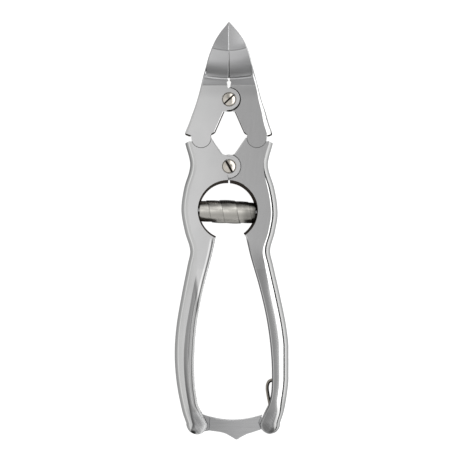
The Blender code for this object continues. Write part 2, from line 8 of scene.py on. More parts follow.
import bmesh
import bpy
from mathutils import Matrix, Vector


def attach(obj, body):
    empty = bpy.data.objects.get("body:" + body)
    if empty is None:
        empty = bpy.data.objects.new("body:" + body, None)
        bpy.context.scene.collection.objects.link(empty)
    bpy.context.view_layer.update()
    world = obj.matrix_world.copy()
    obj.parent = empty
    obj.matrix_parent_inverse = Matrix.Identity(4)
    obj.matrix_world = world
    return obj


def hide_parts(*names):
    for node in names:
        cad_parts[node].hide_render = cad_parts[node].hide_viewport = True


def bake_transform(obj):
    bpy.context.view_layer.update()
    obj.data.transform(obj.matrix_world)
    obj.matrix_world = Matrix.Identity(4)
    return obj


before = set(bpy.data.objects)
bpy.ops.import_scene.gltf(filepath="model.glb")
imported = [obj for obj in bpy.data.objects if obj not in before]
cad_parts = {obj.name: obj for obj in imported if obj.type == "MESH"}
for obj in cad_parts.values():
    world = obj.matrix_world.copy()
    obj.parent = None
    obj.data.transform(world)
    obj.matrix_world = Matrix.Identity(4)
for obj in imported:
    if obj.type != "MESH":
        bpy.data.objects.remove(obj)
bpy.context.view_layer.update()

MM = 0.001

# ---- sizes

# tables are in millimetres: curves hold (y, distance from the middle line), shoulders and paths (x, y)
PLATE = 8.4 * MM
GAP = 0.3 * MM
MIDDLE = PLATE / 2
BACK_LAP_TOP = MIDDLE - GAP / 2
FRONT_LAP_BASE = MIDDLE + GAP / 2
THROUGH = 2 * MM
BLIND_TOP = PLATE - 1.2 * MM
PIN_TOP = PLATE - 1.5 * MM
JAW_PIVOT_Y = 24.8 * MM
KNUCKLE_X = 10.3 * MM
KNUCKLE_Y = 10.6 * MM
JAW_BOSS_R = 4.07 * MM
HANDLE_BOSS_R = 4.33 * MM
TONGUE_R = 3.7 * MM
SCREW_HOLE_R = 1.6 * MM
KNUCKLE_PIN_R = 1.25 * MM
JAW_PIN_HOLE_R = 1.45 * MM
HANDLE_PIN_HOLE_R = 1.35 * MM
RELIEF_X, RELIEF_Y, RELIEF_R = -0.03 * MM, 31.25 * MM, 0.85 * MM
NOTCH_Y, NOTCH_R = -4.6 * MM, 0.43 * MM
ROUND = 96

JAW_TAIL_Y, JAW_TIP_Y = 11.3 * MM, 53.65 * MM
JAW_OUTER = (
    (11.3, 16.3), (12.6, 16.2), (15.0, 15.35), (19.0, 14.05), (24.6, 12.0), (32.0, 10.0),
    (38.0, 8.3), (42.3, 7.15), (46.7, 5.3), (50.0, 3.2), (52.4, 1.25), (53.65, 0.25),
)
JAW_INNER = (
    (11.3, 6.95), (11.85, 6.7), (12.4, 5.75), (12.7, 5.42), (20.3, 2.08), (20.9, 0.15),
    (30.0, 0.12), (33.0, 0.33), (41.0, 0.15), (42.6, 0.12), (42.9, 0.03), (53.65, 0.03),
)
JAW_SHOULDER = ((17.5, 12.75), (16.3, 12.4), (14.05, 11.6), (14.0, 10.0), (17.5, 10.0))
# what each jaw's outer edge adds to JAW_OUTER; keys -1 and 1 are the left and the right side
JAW_TRIM = {
    -1: ((11.3, 0), (13.4, 0), (17.1, -0.28), (20.8, -0.33), (24.5, -0.2), (28, -0.22), (33, -0.08),
         (39.3, 0.03), (43, -0.18), (46.7, -0.14), (50.4, -0.08), (53.65, 0)),
    1: ((11.3, -0.25), (13.4, -0.28), (17.1, -0.28), (20.8, -0.06), (24.5, 0), (28, 0.06), (35, 0.1),
        (39.3, 0.27), (43, 0.3), (46.7, 0.27), (50.4, 0.18), (53.65, 0)),
}
# degrees by which a front face falls outwards: at the middle line, and what is added at FACE_REACH
FACE_TILT = {-1: (1.5, 1.9), 1: (1.2, 0.5)}
FACE_REACH = 16 * MM
WALL_DRAFT = 0.3 * MM

OPENING_R = 11.1 * MM
# x, y and radius of the spring opening's tapered wall at the back and at the front face
OPENING_BACK = (-0.68, -16.45, 10.35)
OPENING_FRONT = (-0.45, -16.3, 11.22)
OPENING_X = -0.3 * MM
OPENING_Y = -16.5 * MM
LEAN = 0.006
BOW = 0.105
HANDLE_OUTER = (
    (10.6, 16.35), (8.4, 16.25), (3.8, 14.95), (0.85, 14.45), (-2.1, 14.9), (-8.0, 16.75),
    (-16.2, 17.85), (-24.3, 16.6), (-31.1, 14.75), (-36.2, 15.7), (-48.0, 18.2), (-59.8, 20.35),
    (-70.2, 21.15), (-80.5, 20.6), (-90.9, 18.8), (-95.4, 17.4),
)
HANDLE_HEAD_INNER = (
    (10.6, 6.4), (4.5, 2.2), (3.9, 0.12), (-4.0, 0.12), (-4.3, 0.04), (-4.9, 0.04), (-5.2, 0.3),
    (-16.5, 0.3), (-26.3, 5.6),
)
HANDLE_GRIP_INNER = (
    (-26.3, 5.6), (-33.2, 7.1), (-45.0, 10.3), (-56.9, 12.8), (-68.7, 14.1), (-80.5, 14.25),
    (-88.0, 13.2), (-91.6, 11.7), (-95.4, 10.0),
)
HANDLE_SHOULDER = (
    (18.0, 8.2), (16.3, 8.6), (14.65, 9.35), (13.9, 9.2), (13.4, 12.0), (18.0, 12.0),
)
CUSP_Y = -26.3 * MM
GRIP_START_Y = -27.0 * MM
GRIP_FULL_Y = -50.0 * MM
LOCK_PIN_X = 13.7 * MM
KNOB_X = {-1: 13.5 * MM, 1: 13.7 * MM}
KNOB_Y = -95.4 * MM
KNOB_R = {-1: 3.95 * MM, 1: 3.75 * MM}
GRIP_REACH = 22.11 * MM
GRIP_TOP = PLATE - 0.1 * MM

SLOT_LOW = 2.7 * MM
SLOT_HIGH = 5.7 * MM
TONGUE_LOW = SLOT_LOW + GAP
TONGUE_HIGH = SLOT_HIGH - GAP
BAR_LOW = 2.0 * MM
BAR_HIGH = 6.4 * MM
HEEL_R = 2.4 * MM
BAR_SHOULDER_R = 4.3 * MM
BAR_TOP_SAG = 2.2 * MM
BAR_TOP_Y = -91.9 * MM
BAR_LOW_Y = -98.0 * MM
BAR_POINT_Y = -101.3 * MM
CATCH_R = 0.8 * MM
CATCH_DROP = 0.35 * MM
HOOK_THROAT = 1.1 * MM
HOOK_LIP = 1.1 * MM
HOOK_FLOOR = 2.35 * MM
HOOK_BASE = 3.15 * MM
HINGE_R = 1.0 * MM

SCREW_R = 2.42 * MM
SCREW_TOP = PLATE + 0.35 * MM
SPRING_TILT = math.radians(-2.0)
SPRING_ENDS = (-10.6 * MM, 10.1 * MM)
COIL_DROP = 0.2 * MM
COIL_STRETCH = (1.03, 1.11)
# painted light and shade against the height above the spring's axis: painted shade on both flanks and a
# painted highlight just above the axis
COIL_PAINTED_LIGHT = ((-5, 0.2), (-4.2, 0.3), (-3.7, 0.5), (-2.9, 0.56), (-2.7, 0.72), (-1.3, 0.72), (-0.5, 0.95),
             (0.0, 1.4), (0.5, 1.8), (1.1, 1.7), (1.5, 1.1), (2.0, 0.5), (2.4, 0.3), (3.0, 0.3), (3.6, 0.2),
             (5, 0.1))
LEAF_THICK = 1.2 * MM
LEAF_PATH = (
    (17.35, -76.8), (17.1, -78.3), (16.2, -79.2), (15.0, -79.75), (14.35, -80.9), (14.2, -82.4),
    (14.4, -84.2), (14.8, -86.4), (15.15, -88.2), (15.2, -89.8), (14.7, -92.3),
)


# ---- curves

def slope_at(knots, k):
    low, high = knots[max(k - 1, 0)], knots[min(k + 1, len(knots) - 1)]
    return (high[1] - low[1]) / (high[0] - low[0])


def find_span(knots, y):
    y = min(max(y, knots[0][0]), knots[-1][0])
    i = next(k for k in range(len(knots) - 1) if y <= knots[k + 1][0] + 1e-12)
    return i, knots[i + 1][0] - knots[i][0], (y - knots[i][0]) / (knots[i + 1][0] - knots[i][0])


def smooth_curve(points, y):
    """Value at y on the smooth curve through (y, value) points given in millimetres."""
    knots = sorted((a * MM, b * MM) for a, b in points)
    i, span, t = find_span(knots, y)
    m0, m1 = slope_at(knots, i), slope_at(knots, i + 1)
    return ((2 * t**3 - 3 * t**2 + 1) * knots[i][1] + (t**3 - 2 * t**2 + t) * span * m0
            + (3 * t**2 - 2 * t**3) * knots[i + 1][1] + (t**3 - t**2) * span * m1)


def straight_curve(points, y, unit=MM):
    """Value at y on straight lines through (y, value) points."""
    knots = sorted((a * unit, b * unit) for a, b in points)
    i, _, t = find_span(knots, y)
    return knots[i][1] + t * (knots[i + 1][1] - knots[i][1])


def ease(y, start, end):
    """0 at start, 1 at end, with a smooth change between them."""
    t = min(max((y - start) / (end - start), 0.0), 1.0)
    return t * t * (3 - 2 * t)


def fade(y, start, end):
    """ease() with its ends in millimetres."""
    return ease(y, start * MM, end * MM)


def mix(a, b, t):
    return a + (b - a) * t


def dim(level, share):
    """Factor that falls from 1 to level as share goes from 0 to 1."""
    return mix(1.0, level, share)


def spread(start, end, count):
    """Evenly spaced values from start to end, both included."""
    return [start + (end - start) * k / (count - 1) for k in range(count)]


def steps(*parts):
    """Row places: (start, end, step) parts in millimetres joined into one list in metres."""
    rows = []
    for start, end, step in parts:
        count = max(int(round(abs(end - start) / step)), 1)
        rows += [start + (end - start) * k / count for k in range(count)]
    rows.append(parts[-1][1])
    return [y * MM for y in rows]


def drift(y):
    """How far the line between the handles leans to the right at y."""
    down = max(-y, 0.0)
    return LEAN * down + BOW * down * down


def circle(x, y, radius, count=ROUND, start=0.0, turn=2 * math.pi):
    number = count if turn > 6.28 else count + 1
    return [(x + radius * math.cos(start + turn * k / count),
             y + radius * math.sin(start + turn * k / count)) for k in range(number)]


def face_fall(side, x):
    """How far the slightly domed front faces have fallen at x from the middle."""
    start, more = (math.tan(math.radians(a)) for a in FACE_TILT[side])
    return start * x + more * x * abs(x) / (2 * FACE_REACH)


# ---- meshes

def new_object(name, bm):
    bmesh.ops.recalc_face_normals(bm, faces=bm.faces)
    mesh = bpy.data.meshes.new(name)
    bm.to_mesh(mesh)
    bm.free()
    made = bpy.data.objects.new(name, mesh)
    bpy.context.scene.collection.objects.link(made)
    return made


def loft(name, rings):
    """A capped body through rings with the same number of points."""
    bm = bmesh.new()
    loops = [[bm.verts.new(point) for point in ring] for ring in rings]
    count = len(rings[0])
    for lower, upper in zip(loops, loops[1:]):
        for k in range(count):
            n = (k + 1) % count
            bm.faces.new((lower[k], lower[n], upper[n], upper[k]))
    bm.faces.new(loops[0])
    bm.faces.new(loops[-1])
    return new_object(name, bm)


def prism(name, outline, levels, top=None):
    """An outline carried through (height, inset) levels; top(x) lowers the upper levels."""
    rings = []
    for z, inset in levels:
        ring = inset_outline(outline, inset) if inset else outline
        rings.append([(x, y, z - (top(x) if top and z > MIDDLE else 0.0)) for x, y in ring])
    return loft(name, rings)


def inset_outline(outline, inset):
    """The outline moved inwards by inset; a negative inset moves it outwards."""
    area = sum(a[0] * b[1] - b[0] * a[1] for a, b in zip(outline, outline[1:] + outline[:1]))
    turn = 1 if area > 0 else -1
    moved = []
    for k, (x, y) in enumerate(outline):
        before, after = Vector(outline[k - 1]), Vector(outline[(k + 1) % len(outline)])
        here = Vector((x, y))
        a, b = (here - before).normalized(), (after - here).normalized()
        normal = Vector((-(a.y + b.y), a.x + b.x)) * turn
        normal.normalize()
        share = max(normal.dot(Vector((-a.y, a.x)) * turn), 0.35)
        moved.append(tuple(here + normal * (inset / share)))
    return moved


def combine(target, tools, operation):
    """Join tools to a target, or cut them out of it, and remove the tools."""
    group = bpy.data.collections.new("tools")
    for tool in tools:
        bpy.context.scene.collection.objects.unlink(tool)
        group.objects.link(tool)
    step = target.modifiers.new(operation, "BOOLEAN")
    step.operation = operation
    step.solver = "EXACT"
    step.operand_type = "COLLECTION"
    step.collection = group
    bpy.context.view_layer.update()
    evaluated = target.evaluated_get(bpy.context.evaluated_depsgraph_get())
    result = bpy.data.meshes.new_from_object(evaluated)
    target.modifiers.clear()
    target.data = result
    for tool in tools:
        bpy.data.objects.remove(tool)
    bpy.data.collections.remove(group)


def bore(x, y, levels, count=ROUND):
    """Round cutter through (height, radius) levels."""
    return loft("bore", [[(px, py, z) for px, py in circle(x, y, r, count)] for z, r in levels])


def drill(x, y, radius, top=PLATE + THROUGH, count=48):
    """Straight round cutter from behind the back face up to top."""
    return bore(x, y, [(-THROUGH, radius), (top, radius)], count)


def shade(target, angle=17):
    """Smooth round faces and keep edges crisp."""
    target.data.shade_smooth()
    target.data.set_sharp_from_angle(angle=math.radians(angle))


def painted_light(target, shade_at):
    """Store the painted light and shade at each vertex, for the materials to read."""
    layer = target.data.attributes.new("painted_light", "FLOAT", "POINT")
    for vertex, value in zip(target.data.vertices, layer.data):
        value.value = shade_at(vertex.co)


def paint(target, materials, names, choose):
    """Give every face the one of the named materials that choose(centre, normal) returns."""
    target.data.materials.clear()
    for name in names:
        target.data.materials.append(materials[name])
    for face in target.data.polygons:
        face.material_index = names.index(choose(face.center, face.normal))


# ---- jaws

ARC_Y = 42.9 * MM
RIDGE_Y = 32.6 * MM
POCKET_X = 8.3 * MM
SCOOP_LOW_Y = 37.0 * MM
SCOOP_LOW_Z = 5.75 * MM
SCOOP_R = 15.5 * MM
FACET_FALL = 0.26
JAW_EDGE = {-1: (0.9 * MM, 0.5 * MM), 1: (2.0 * MM, 0.75 * MM)}
# height of the front face's low ridge below the pocket
RIDGE = ((29.9, 0.0), (30.05, -0.06), (31.85, -0.26), (32.2, -0.34), (32.4, -0.24), (32.6, -0.24),
         (60, -0.24))


def jaw_bend(x, v):
    """How far a row bows towards the tip at x: along the arc and along the pocket's lower edge."""
    arc = 1.1 * MM * (x / (6.6 * MM)) ** 2 * math.exp(-((v - ARC_Y) / (2.5 * MM)) ** 2)
    ridge = 0.75 * MM * (x / POCKET_X) ** 2 * math.exp(-((v - RIDGE_Y) / (1.3 * MM)) ** 2)
    return arc + ridge


def jaw_edge(v, side):
    """Outer edge of a jaw at v, with the small differences between the two."""
    v = min(max(v, JAW_TAIL_Y), JAW_TIP_Y)
    return smooth_curve(JAW_OUTER, v) + straight_curve(JAW_TRIM[side], v)


def jaw_outer(v, side):
    """Outer edge of a row, which bows away from the straight line at v."""
    x = jaw_edge(v, side)
    for _ in range(12):
        x = 0.5 * (x + jaw_edge(v + jaw_bend(x, v), side))
    return x


def pocket_height(v, x, side):
    """Height of the scoop and of the tip facet beyond the arc."""
    if v <= ARC_Y:
        along = max(v, RIDGE_Y) - SCOOP_LOW_Y
        lean = 0.026 * side * (x - 4 * MM) + tip_crown(x) * ease(v, 34 * MM, ARC_Y)
        return SCOOP_LOW_Z + SCOOP_R - math.sqrt(SCOOP_R**2 - along**2) - lean
    return pocket_height(ARC_Y, x, side) - FACET_FALL * (v - ARC_Y)


def tip_crown(x):
    """How far the tip facets have fallen at x from the cutting edge."""
    return 0.04 * x + 0.0035 / MM * x * x


def rim_height(v):
    """Height of the rim outside the pocket."""
    end = 39.5
    return mix(PLATE - 0.35 * MM, pocket_height(end * MM, 0, 1) + 0.15 * MM, fade(v, 32.5, end))


def jaw_section(v, side):
    """Cross-section of a jaw, as points round it: inner edge, front, outer edge, back."""
    inner = straight_curve(JAW_INNER, v)
    if side > 0:
        inner += 0.25 * MM * fade(v, 12.0, 12.7) * fade(v, 20.9, 20.3)
    outer = max(jaw_outer(v, side), inner + 0.12 * MM)
    width = outer - inner
    wall = WALL_DRAFT * fade(v, 21.5, 20.5) * (1 if side < 0 else 0.5)
    depth = ease(v, RIDGE_Y, RIDGE_Y + 0.6 * MM)
    low_edge, high_edge = JAW_EDGE[side]
    edge = min(mix(low_edge, high_edge, fade(v, 12, 30)), 0.35 * width)
    edge = mix(edge, min(0.28 * MM, 0.3 * width), fade(v, 32.8, 35.0))
    chamfer = min((0.17 if side < 0 else 0.11) * MM, 0.12 * width)
    chamfer = mix(chamfer, 0.05 * MM, fade(v, 32.5, 33.5))
    chamfer = mix(chamfer, min(0.22 * MM, 0.12 * width), fade(v, 42.6, 43.3))
    lip = inner + chamfer
    rim = outer - edge
    pocket = min(max(rim - 0.05 * MM, lip + 0.1 * MM), POCKET_X)
    columns = [lip + (pocket - lip) * (1 - (1 - k / 20) ** 1.5) for k in range(21)]
    front = []
    ridge = straight_curve(RIDGE, v)
    for x in columns:
        corner = math.hypot(max(x - (pocket - 1.3 * MM), 0.0), max(RIDGE_Y + 2.0 * MM - v, 0.0)) / (1.75 * MM)
        inside = depth * (1 - ease(corner, 0.93, 1.12)) if v < RIDGE_Y + 2.0 * MM else depth
        front.append((x, mix(PLATE - face_fall(side, x) + ridge, pocket_height(v, x, side), inside)))
    last = front[-1][1]
    flat_rim = PLATE - face_fall(side, rim) + ridge * fade(v, 33.4, 33.0)
    top = mix(flat_rim, rim_height(v) - 0.02 * (rim - pocket), depth)
    rise = max(top, last) if depth > 0 and pocket < rim - 0.06 * MM else min(top, last)
    middle = 0.25 if depth > 0 else 0.5
    front.append((mix(pocket, rim, middle), mix(last, rise, 0.85 if depth > 0 else 0.5)))
    front.append((rim, rise))
    base = front[-1][1]
    for share, drop in ((0.35, 0.13), (0.7, 0.30), (0.93, 0.52), (1.0, 0.8)):
        front.append((rim + (outer - rim) * share, base - edge * drop))
    back = 0.09 * max(v - 36 * MM, 0.0)
    lean = min(1.3 * MM * fade(v, 32, 36), 0.4 * width)
    tail = [(outer, back + 0.6 * MM), (outer - 0.12 * MM, back + 0.2 * MM),
            (outer - min(0.5 * MM, 0.3 * width), back)]
    floor = [(inner + lean + 0.3 * width, back), (inner + lean - wall + 0.15 * MM * (wall > 0), back)]
    floor.append((inner + lean - wall, back + 0.15 * MM))
    lip_z = front[0][1] - chamfer * (0.55 if side < 0 else 0.8)
    throat = mix(inner - wall * 0.2, min(inner, 0.015 * MM), fade(v, 32.4, 33.0))
    start = [(throat, lip_z - min(0.9 * MM, 0.3 * (lip_z - back))), (inner, lip_z)]
    ring = start + front + tail + floor
    return [(side * x, v + jaw_bend(x, v), z) for x, z in ring]


def jaw_rows():
    return steps((11.3, 12.7, 0.2), (12.7, 20.3, 0.8), (20.3, 21.2, 0.15), (21.2, 29.6, 0.8),
                 (29.6, 29.9, 0.15), (29.9, 30.05, 0.075), (30.05, 31.85, 0.3), (31.85, 32.6, 0.125),
                 (32.6, 33.5, 0.1), (33.5, 34.7, 0.2), (34.7, 42.5, 0.39), (42.5, 43.3, 0.1),
                 (43.3, 53.1, 0.32), (53.1, 53.65, 0.11))


def face_drop(side):
    """How far the front face of the pieces on one side lies under the plate at x."""
    return lambda x: face_fall(side, side * x)


def jaw(name, side):
    """One jaw. The left one keeps the front half of the lap joint, the right one the back half."""
    body = loft(name, [jaw_section(v, side) for v in jaw_rows()])
    x = side * KNUCKLE_X
    drop = face_drop(side)
    draft = 0.65 * MM
    shoulder = [(side * a * MM, b * MM) for a, b in JAW_SHOULDER]
    levels = [(-THROUGH, draft), (PLATE - 0.5 * MM, 0.1 * MM), (PLATE + THROUGH, -0.1 * MM)]
    combine(body, [prism("shoulder", shoulder, levels)], "DIFFERENCE")
    top = [(FRONT_LAP_BASE - 0.4 * MM, 0.0), (PLATE - 0.12 * MM, 0.0), (PLATE, 0.12 * MM)]
    # the right jaw's boss is hidden at the back; the left one's is seen and sits a little higher
    discs = [prism("tongue", circle(x, KNUCKLE_Y, TONGUE_R), top, drop)]
    low = [(0.0, 0.0), (BACK_LAP_TOP - 0.05 * MM, 0.0)] if side > 0 else top
    hang = 0.3 * MM if side > 0 else -0.15 * MM
    discs.append(prism("boss", circle(0.0, JAW_PIVOT_Y - hang, JAW_BOSS_R), low, drop if side < 0 else None))
    combine(body, discs, "UNION")
    holes = [drill(x, KNUCKLE_Y, TONGUE_R + GAP, FRONT_LAP_BASE, ROUND),
             drill(x, KNUCKLE_Y, JAW_PIN_HOLE_R, BLIND_TOP), relief(), drill(0.0, JAW_PIVOT_Y, SCREW_HOLE_R)]
    holes += lap_tools(side, JAW_PIVOT_Y, JAW_BOSS_R, (0.3 if side > 0 else 0.5) * MM)
    combine(body, holes, "DIFFERENCE")
    return body


def lap_tools(side, y, radius, gap):
    """Cutters for the other plate's half of a lap joint and for the screw's head."""
    if side < 0:
        head = SCREW_R + 0.1 * MM
        return [drill(0.0, y, radius + gap, FRONT_LAP_BASE, ROUND),
                bore(0.0, y, [(PLATE - 1.3 * MM, head), (PLATE - 0.22 * MM, head),
                              (PLATE + 0.5 * MM, head + 0.62 * MM)])]
    return [bore(0.0, y, [(BACK_LAP_TOP, radius + gap), (PLATE - 0.15 * MM, radius + gap),
                          (PLATE + 0.5 * MM, radius + gap + 0.5 * MM)])]


def relief():
    """Long relief hole between the jaws, round at its top."""
    outline = circle(RELIEF_X, RELIEF_Y, RELIEF_R, 24, turn=math.pi)
    outline += [(a * MM, b * MM) for a, b in ((-0.62, 30.3), (-0.55, 29.2), (0.45, 29.2), (0.55, 30.2))]
    return prism("relief", outline, [(-THROUGH, 0.0), (PLATE + THROUGH, 0.0)])


# ---- handles

# slopes in degrees: of the outer band against the distance from the outer edge, at the grip and at
# the head, and then of the front face against a share of its width, at the grip and at the round end
BAND_TILT = ((0, 84), (0.12, 76), (0.35, 69), (0.8, 60), (1.25, 50), (1.45, 45), (1.9, 34), (2.4, 29),
             (3.5, 24))
HEAD_TILT = ((0, 84), (0.12, 76), (0.35, 68), (0.8, 58), (1.3, 50), (1.5, 45), (2.15, 34), (2.4, 22),
             (3.5, 12))
GRIP_TILT = {-1: ((0, -5), (0.22, -9), (0.42, -15), (0.58, -16.5), (0.6, -9), (0.72, -9), (0.74, -18.4),
                  (1, -18.4)),
             1: ((0, 21.5), (0.2, 16.5), (0.5, 12.5), (0.75, 9.5), (1, 7))}
KNOB_TILT = {-1: ((0, -6), (0.35, -10), (0.7, -15.5), (0.9, -18), (1, -19)),
             1: ((0, 17.5), (0.5, 11.5), (1, 5))}
KNOB_SPAN = (-86 * MM, -92.5 * MM)
KNOB_BAND = 2.3
GRIP_EDGE = {-1: 0.35 * MM, 1: 0.7 * MM}
GRIP_LAG = {-1: 7 * MM, 1: 0.0}
GRIP_SPAN = {-1: (-40 * MM, -48 * MM), 1: (-27 * MM, -48 * MM)}
GRIP_BAND = {-1: 3.9, 1: 3.1}
GRIP_SLIM = {-1: -0.38 * MM, 1: 0.5 * MM}


def handle_inner(y, side=1):
    """Distance of a handle's inner edge from the leaning middle line."""
    if y >= CUSP_Y:
        lean = -0.2 * MM * side * fade(y, 3.2, 4.4) + GRIP_SLIM[side] * ease(y, -18 * MM, CUSP_Y)
        return straight_curve(HANDLE_HEAD_INNER, y) + lean
    if y >= KNOB_Y:
        swell = (10.0 * MM - KNOB_X[side] + KNOB_R[side]) * ease(y, -88 * MM, KNOB_Y)
        slim = GRIP_SLIM[side] * fade(y, -92, -84)
        return smooth_curve(HANDLE_GRIP_INNER, y) - swell + slim
    return KNOB_X[side] - knob_reach(y, side)


def handle_outer(y, side=1):
    """Distance of a handle's outer edge from the leaning middle line."""
    if y < KNOB_Y:
        return KNOB_X[side] + knob_reach(y, side)
    edge = smooth_curve(HANDLE_OUTER, y)
    if side > 0:
        full = edge + 0.25 * MM * fade(y, -14, -20) * ease(y, KNOB_Y, -88 * MM)
        return max(min(full, GRIP_REACH - drift(y)), edge)
    return edge


def knob_reach(y, side):
    """Half the width of a handle's round end at y."""
    return math.sqrt(max(KNOB_R[side] ** 2 - (KNOB_Y - y) ** 2, 0.0))


def rise(slope_at_share, width, count):
    """Heights gained along a strip of this width from its slope in degrees at a share of it."""
    heights, total = [0.0], 0.0
    fine = 8
    for k in range(count * fine):
        slope = slope_at_share((k + 0.5) / (count * fine))
        total += math.tan(math.radians(slope)) * width / (count * fine)
        if (k + 1) % fine == 0:
            heights.append(total)
    return heights


def band_width(y, side, width):
    """Width of the polished outer band, which narrows along the head's top."""
    head = mix(1.6, 2.5, fade(y, 2, -8)) if side > 0 else 2.6
    grip = mix(head, GRIP_BAND[side], fade(y, -24, -40))
    if side < 0:
        grip = mix(grip, 2.85, min(max((-55 * MM - y) / (37 * MM), 0.0), 1.0))
        grip = mix(grip, 2.3, fade(y, -91, -95.7))
        grip = mix(grip, 0.5, fade(y, -95.7, -98.8))
    else:
        grip = mix(grip, mix(KNOB_BAND, 0.6, fade(y, -96, -98.8)), ease(y, *KNOB_SPAN))
    return min(grip * MM, 0.6 * width)


def handle_front(y, side):
    """Front of a handle's cross-section at y: (x, height), from the outer edge to the inner edge."""
    inner, outer = handle_inner(y, side), handle_outer(y, side)
    width = outer - inner
    grip = ease(y, *GRIP_SPAN[side])
    shape = fade(y, -24, -36)
    band = band_width(y, side, width)
    head_edge = mix(0.22 * MM, 0.5 * MM, fade(y, -24, -27))
    edge = min(mix(head_edge, GRIP_EDGE[side], grip), 0.28 * width)
    middle = width - band - edge
    bands, middles, edges = 20, 24, 8
    reach = band / MM * (mix(1.0, 1.5, fade(y, -87, -95)) if side > 0 else 1.0)
    outside = rise(lambda t: mix(straight_curve(HEAD_TILT, t * reach, 1.0),
                                 straight_curve(BAND_TILT, t * reach, 1.0), shape), band, bands)
    knob = ease(y, *KNOB_SPAN)
    across = rise(lambda t: mix(straight_curve(GRIP_TILT[side], t, 1.0),
                                straight_curve(KNOB_TILT[side], t, 1.0), knob), middle, middles)
    level = GRIP_TOP - max(across)
    points = []
    for k in range(bands):
        u = band * k / bands
        low = outside[k] - outside[-1]
        points.append((outer - u, mix(head_height(outer - band, y, side) + low, level + low, grip)))
    for k in range(middles + 1):
        x = outer - band - middle * k / middles
        late = ease(y + GRIP_LAG[side] * k / middles, *GRIP_SPAN[side])
        points.append((x, mix(head_height(x, y, side), level + across[k], late)))
    top = points[-1][1]
    for k in range(1, edges + 1):
        a = math.pi / 2 * k / edges
        points.append((inner + edge * (1 - math.sin(a)), top - edge * 1.25 * (1 - math.cos(a))))
    return points


def head_height(x, y, side):
    return PLATE - face_fall(side, x + side * drift(y))


def handle_ring(y, side):
    front = handle_front(y, side)
    end = min(max((KNOB_Y - y) / KNOB_R[side], 0.0), 1.0)
    shrink = (1 - end**8) ** 0.125
    inner, outer = handle_inner(y, side), handle_outer(y, side)
    width = outer - inner
    grip = ease(y, GRIP_START_Y, GRIP_FULL_Y)
    under = min(mix(1.0 * MM, 2.6 * MM, grip), 0.4 * width)
    inside = min(mix(0.3 * MM, 2.2 * MM, grip), 0.4 * width)
    back = []
    for k in range(8):
        a = math.pi / 2 * k / 7
        back.append((inner + inside * (1 - math.cos(a)), inside * (1 - math.sin(a))))
    for k in range(8):
        a = math.pi / 2 * k / 7
        back.append((outer - under * (1 - math.sin(a)), under * 1.1 * (1 - math.cos(a))))
    ring = front + back
    return [(side * x + drift(y), y, MIDDLE + (z - MIDDLE) * shrink) for x, z in ring]


def handle_rows(side):
    rows = steps((10.6, 4.6, 0.75), (4.6, 3.8, 0.2), (3.8, -4.9, 0.8), (-4.9, -5.2, 0.3), (-5.2, -26.3, 0.8),
                 (-26.3, -95.4, 0.9))
    return rows + [KNOB_Y - KNOB_R[side] * math.sin(math.radians(a))
                   for a in (6, 12, 18, 24, 30, 36, 42, 48, 54, 60, 66, 71, 76, 80, 83.5, 86.5)]


def handle(name, side):
    """One handle with its lap joint, knuckle, spring opening and round end; build_pieces cuts its fork later.
    """
    body = loft(name, [handle_ring(y, side) for y in handle_rows(side)])
    drop = face_drop(side)
    x = side * KNUCKLE_X
    shoulder = [(side * a * MM, b * MM) for a, b in HANDLE_SHOULDER]
    through = [(-THROUGH, 0.0), (PLATE + THROUGH, 0.0)]
    combine(body, [prism("shoulder", shoulder, through), opening()], "DIFFERENCE")
    discs = [prism("knuckle", circle(x, KNUCKLE_Y, TONGUE_R), [(0.0, 0.0), (MIDDLE + 0.5 * MM, 0.0)])]
    top = [(FRONT_LAP_BASE - 0.4 * MM, 0.0), (PLATE - 0.1 * MM, 0.0), (PLATE, 0.1 * MM)]
    low = [(0.0, 0.0), (FRONT_LAP_BASE + 0.5 * MM, 0.0)] if side > 0 else top
    discs.append(prism("boss", circle(0.0, 0.0, HANDLE_BOSS_R), low, drop if side < 0 else None))
    combine(body, discs, "UNION")
    seat = TONGUE_R + (0.1 if side < 0 else 0.07) * MM
    holes = [bore(x, KNUCKLE_Y, [(BACK_LAP_TOP, seat), (PLATE - 0.6 * MM, seat), (PLATE + THROUGH, seat)]),
             drill(x, KNUCKLE_Y, HANDLE_PIN_HOLE_R), drill(0.0, 0.0, SCREW_HOLE_R), peg_hole(side)]
    holes += lap_tools(side, 0.0, HANDLE_BOSS_R, 0.16 * MM)
    holes.append(bore(0.0, NOTCH_Y, [(PLATE - 1.0 * MM, NOTCH_R), (PLATE + THROUGH, NOTCH_R)], 20))
    combine(body, holes, "DIFFERENCE")
    return body


def opening():
    """The tapered round hole that the two handles share, with a small bevel at the front."""
    rings = []
    for z, extra in ((-THROUGH, 0.0), (PLATE - 0.35 * MM, -0.06 * MM), (PLATE + 0.4 * MM, 0.12 * MM)):
        x, y, radius = (mix(a, b, z / PLATE) * MM for a, b in zip(OPENING_BACK, OPENING_FRONT))
        rings.append([(px, py, z) for px, py in circle(x, y, radius + extra, 128)])
    return loft("opening", rings)


def turned(name, profile, count=48):
    """A body turned about X from (x, radius) points."""
    angles = [2 * math.pi * k / count for k in range(count)]
    return loft(name, [[(x, r * math.cos(a), r * math.sin(a)) for a in angles] for x, r in profile])


def on_spring_axis(made):
    """Carry a body turned about X to the spring's axis, in its mesh."""
    cos, sin = math.cos(SPRING_TILT), math.sin(SPRING_TILT)
    for vertex in made.data.vertices:
        x, y, z = vertex.co
        vertex.co = (OPENING_X + x * cos - y * sin, OPENING_Y + x * sin + y * cos, MIDDLE + z)
    return made


def peg_hole(side):
    ends = sorted((side * (OPENING_R - 2 * MM), side * (OPENING_R + 2.9 * MM)))
    return on_spring_axis(turned("peg_hole", [(ends[0], 1.4 * MM), (ends[1], 1.4 * MM)], 32))


def knob_centre(side):
    return side * LOCK_PIN_X + drift(KNOB_Y), KNOB_Y


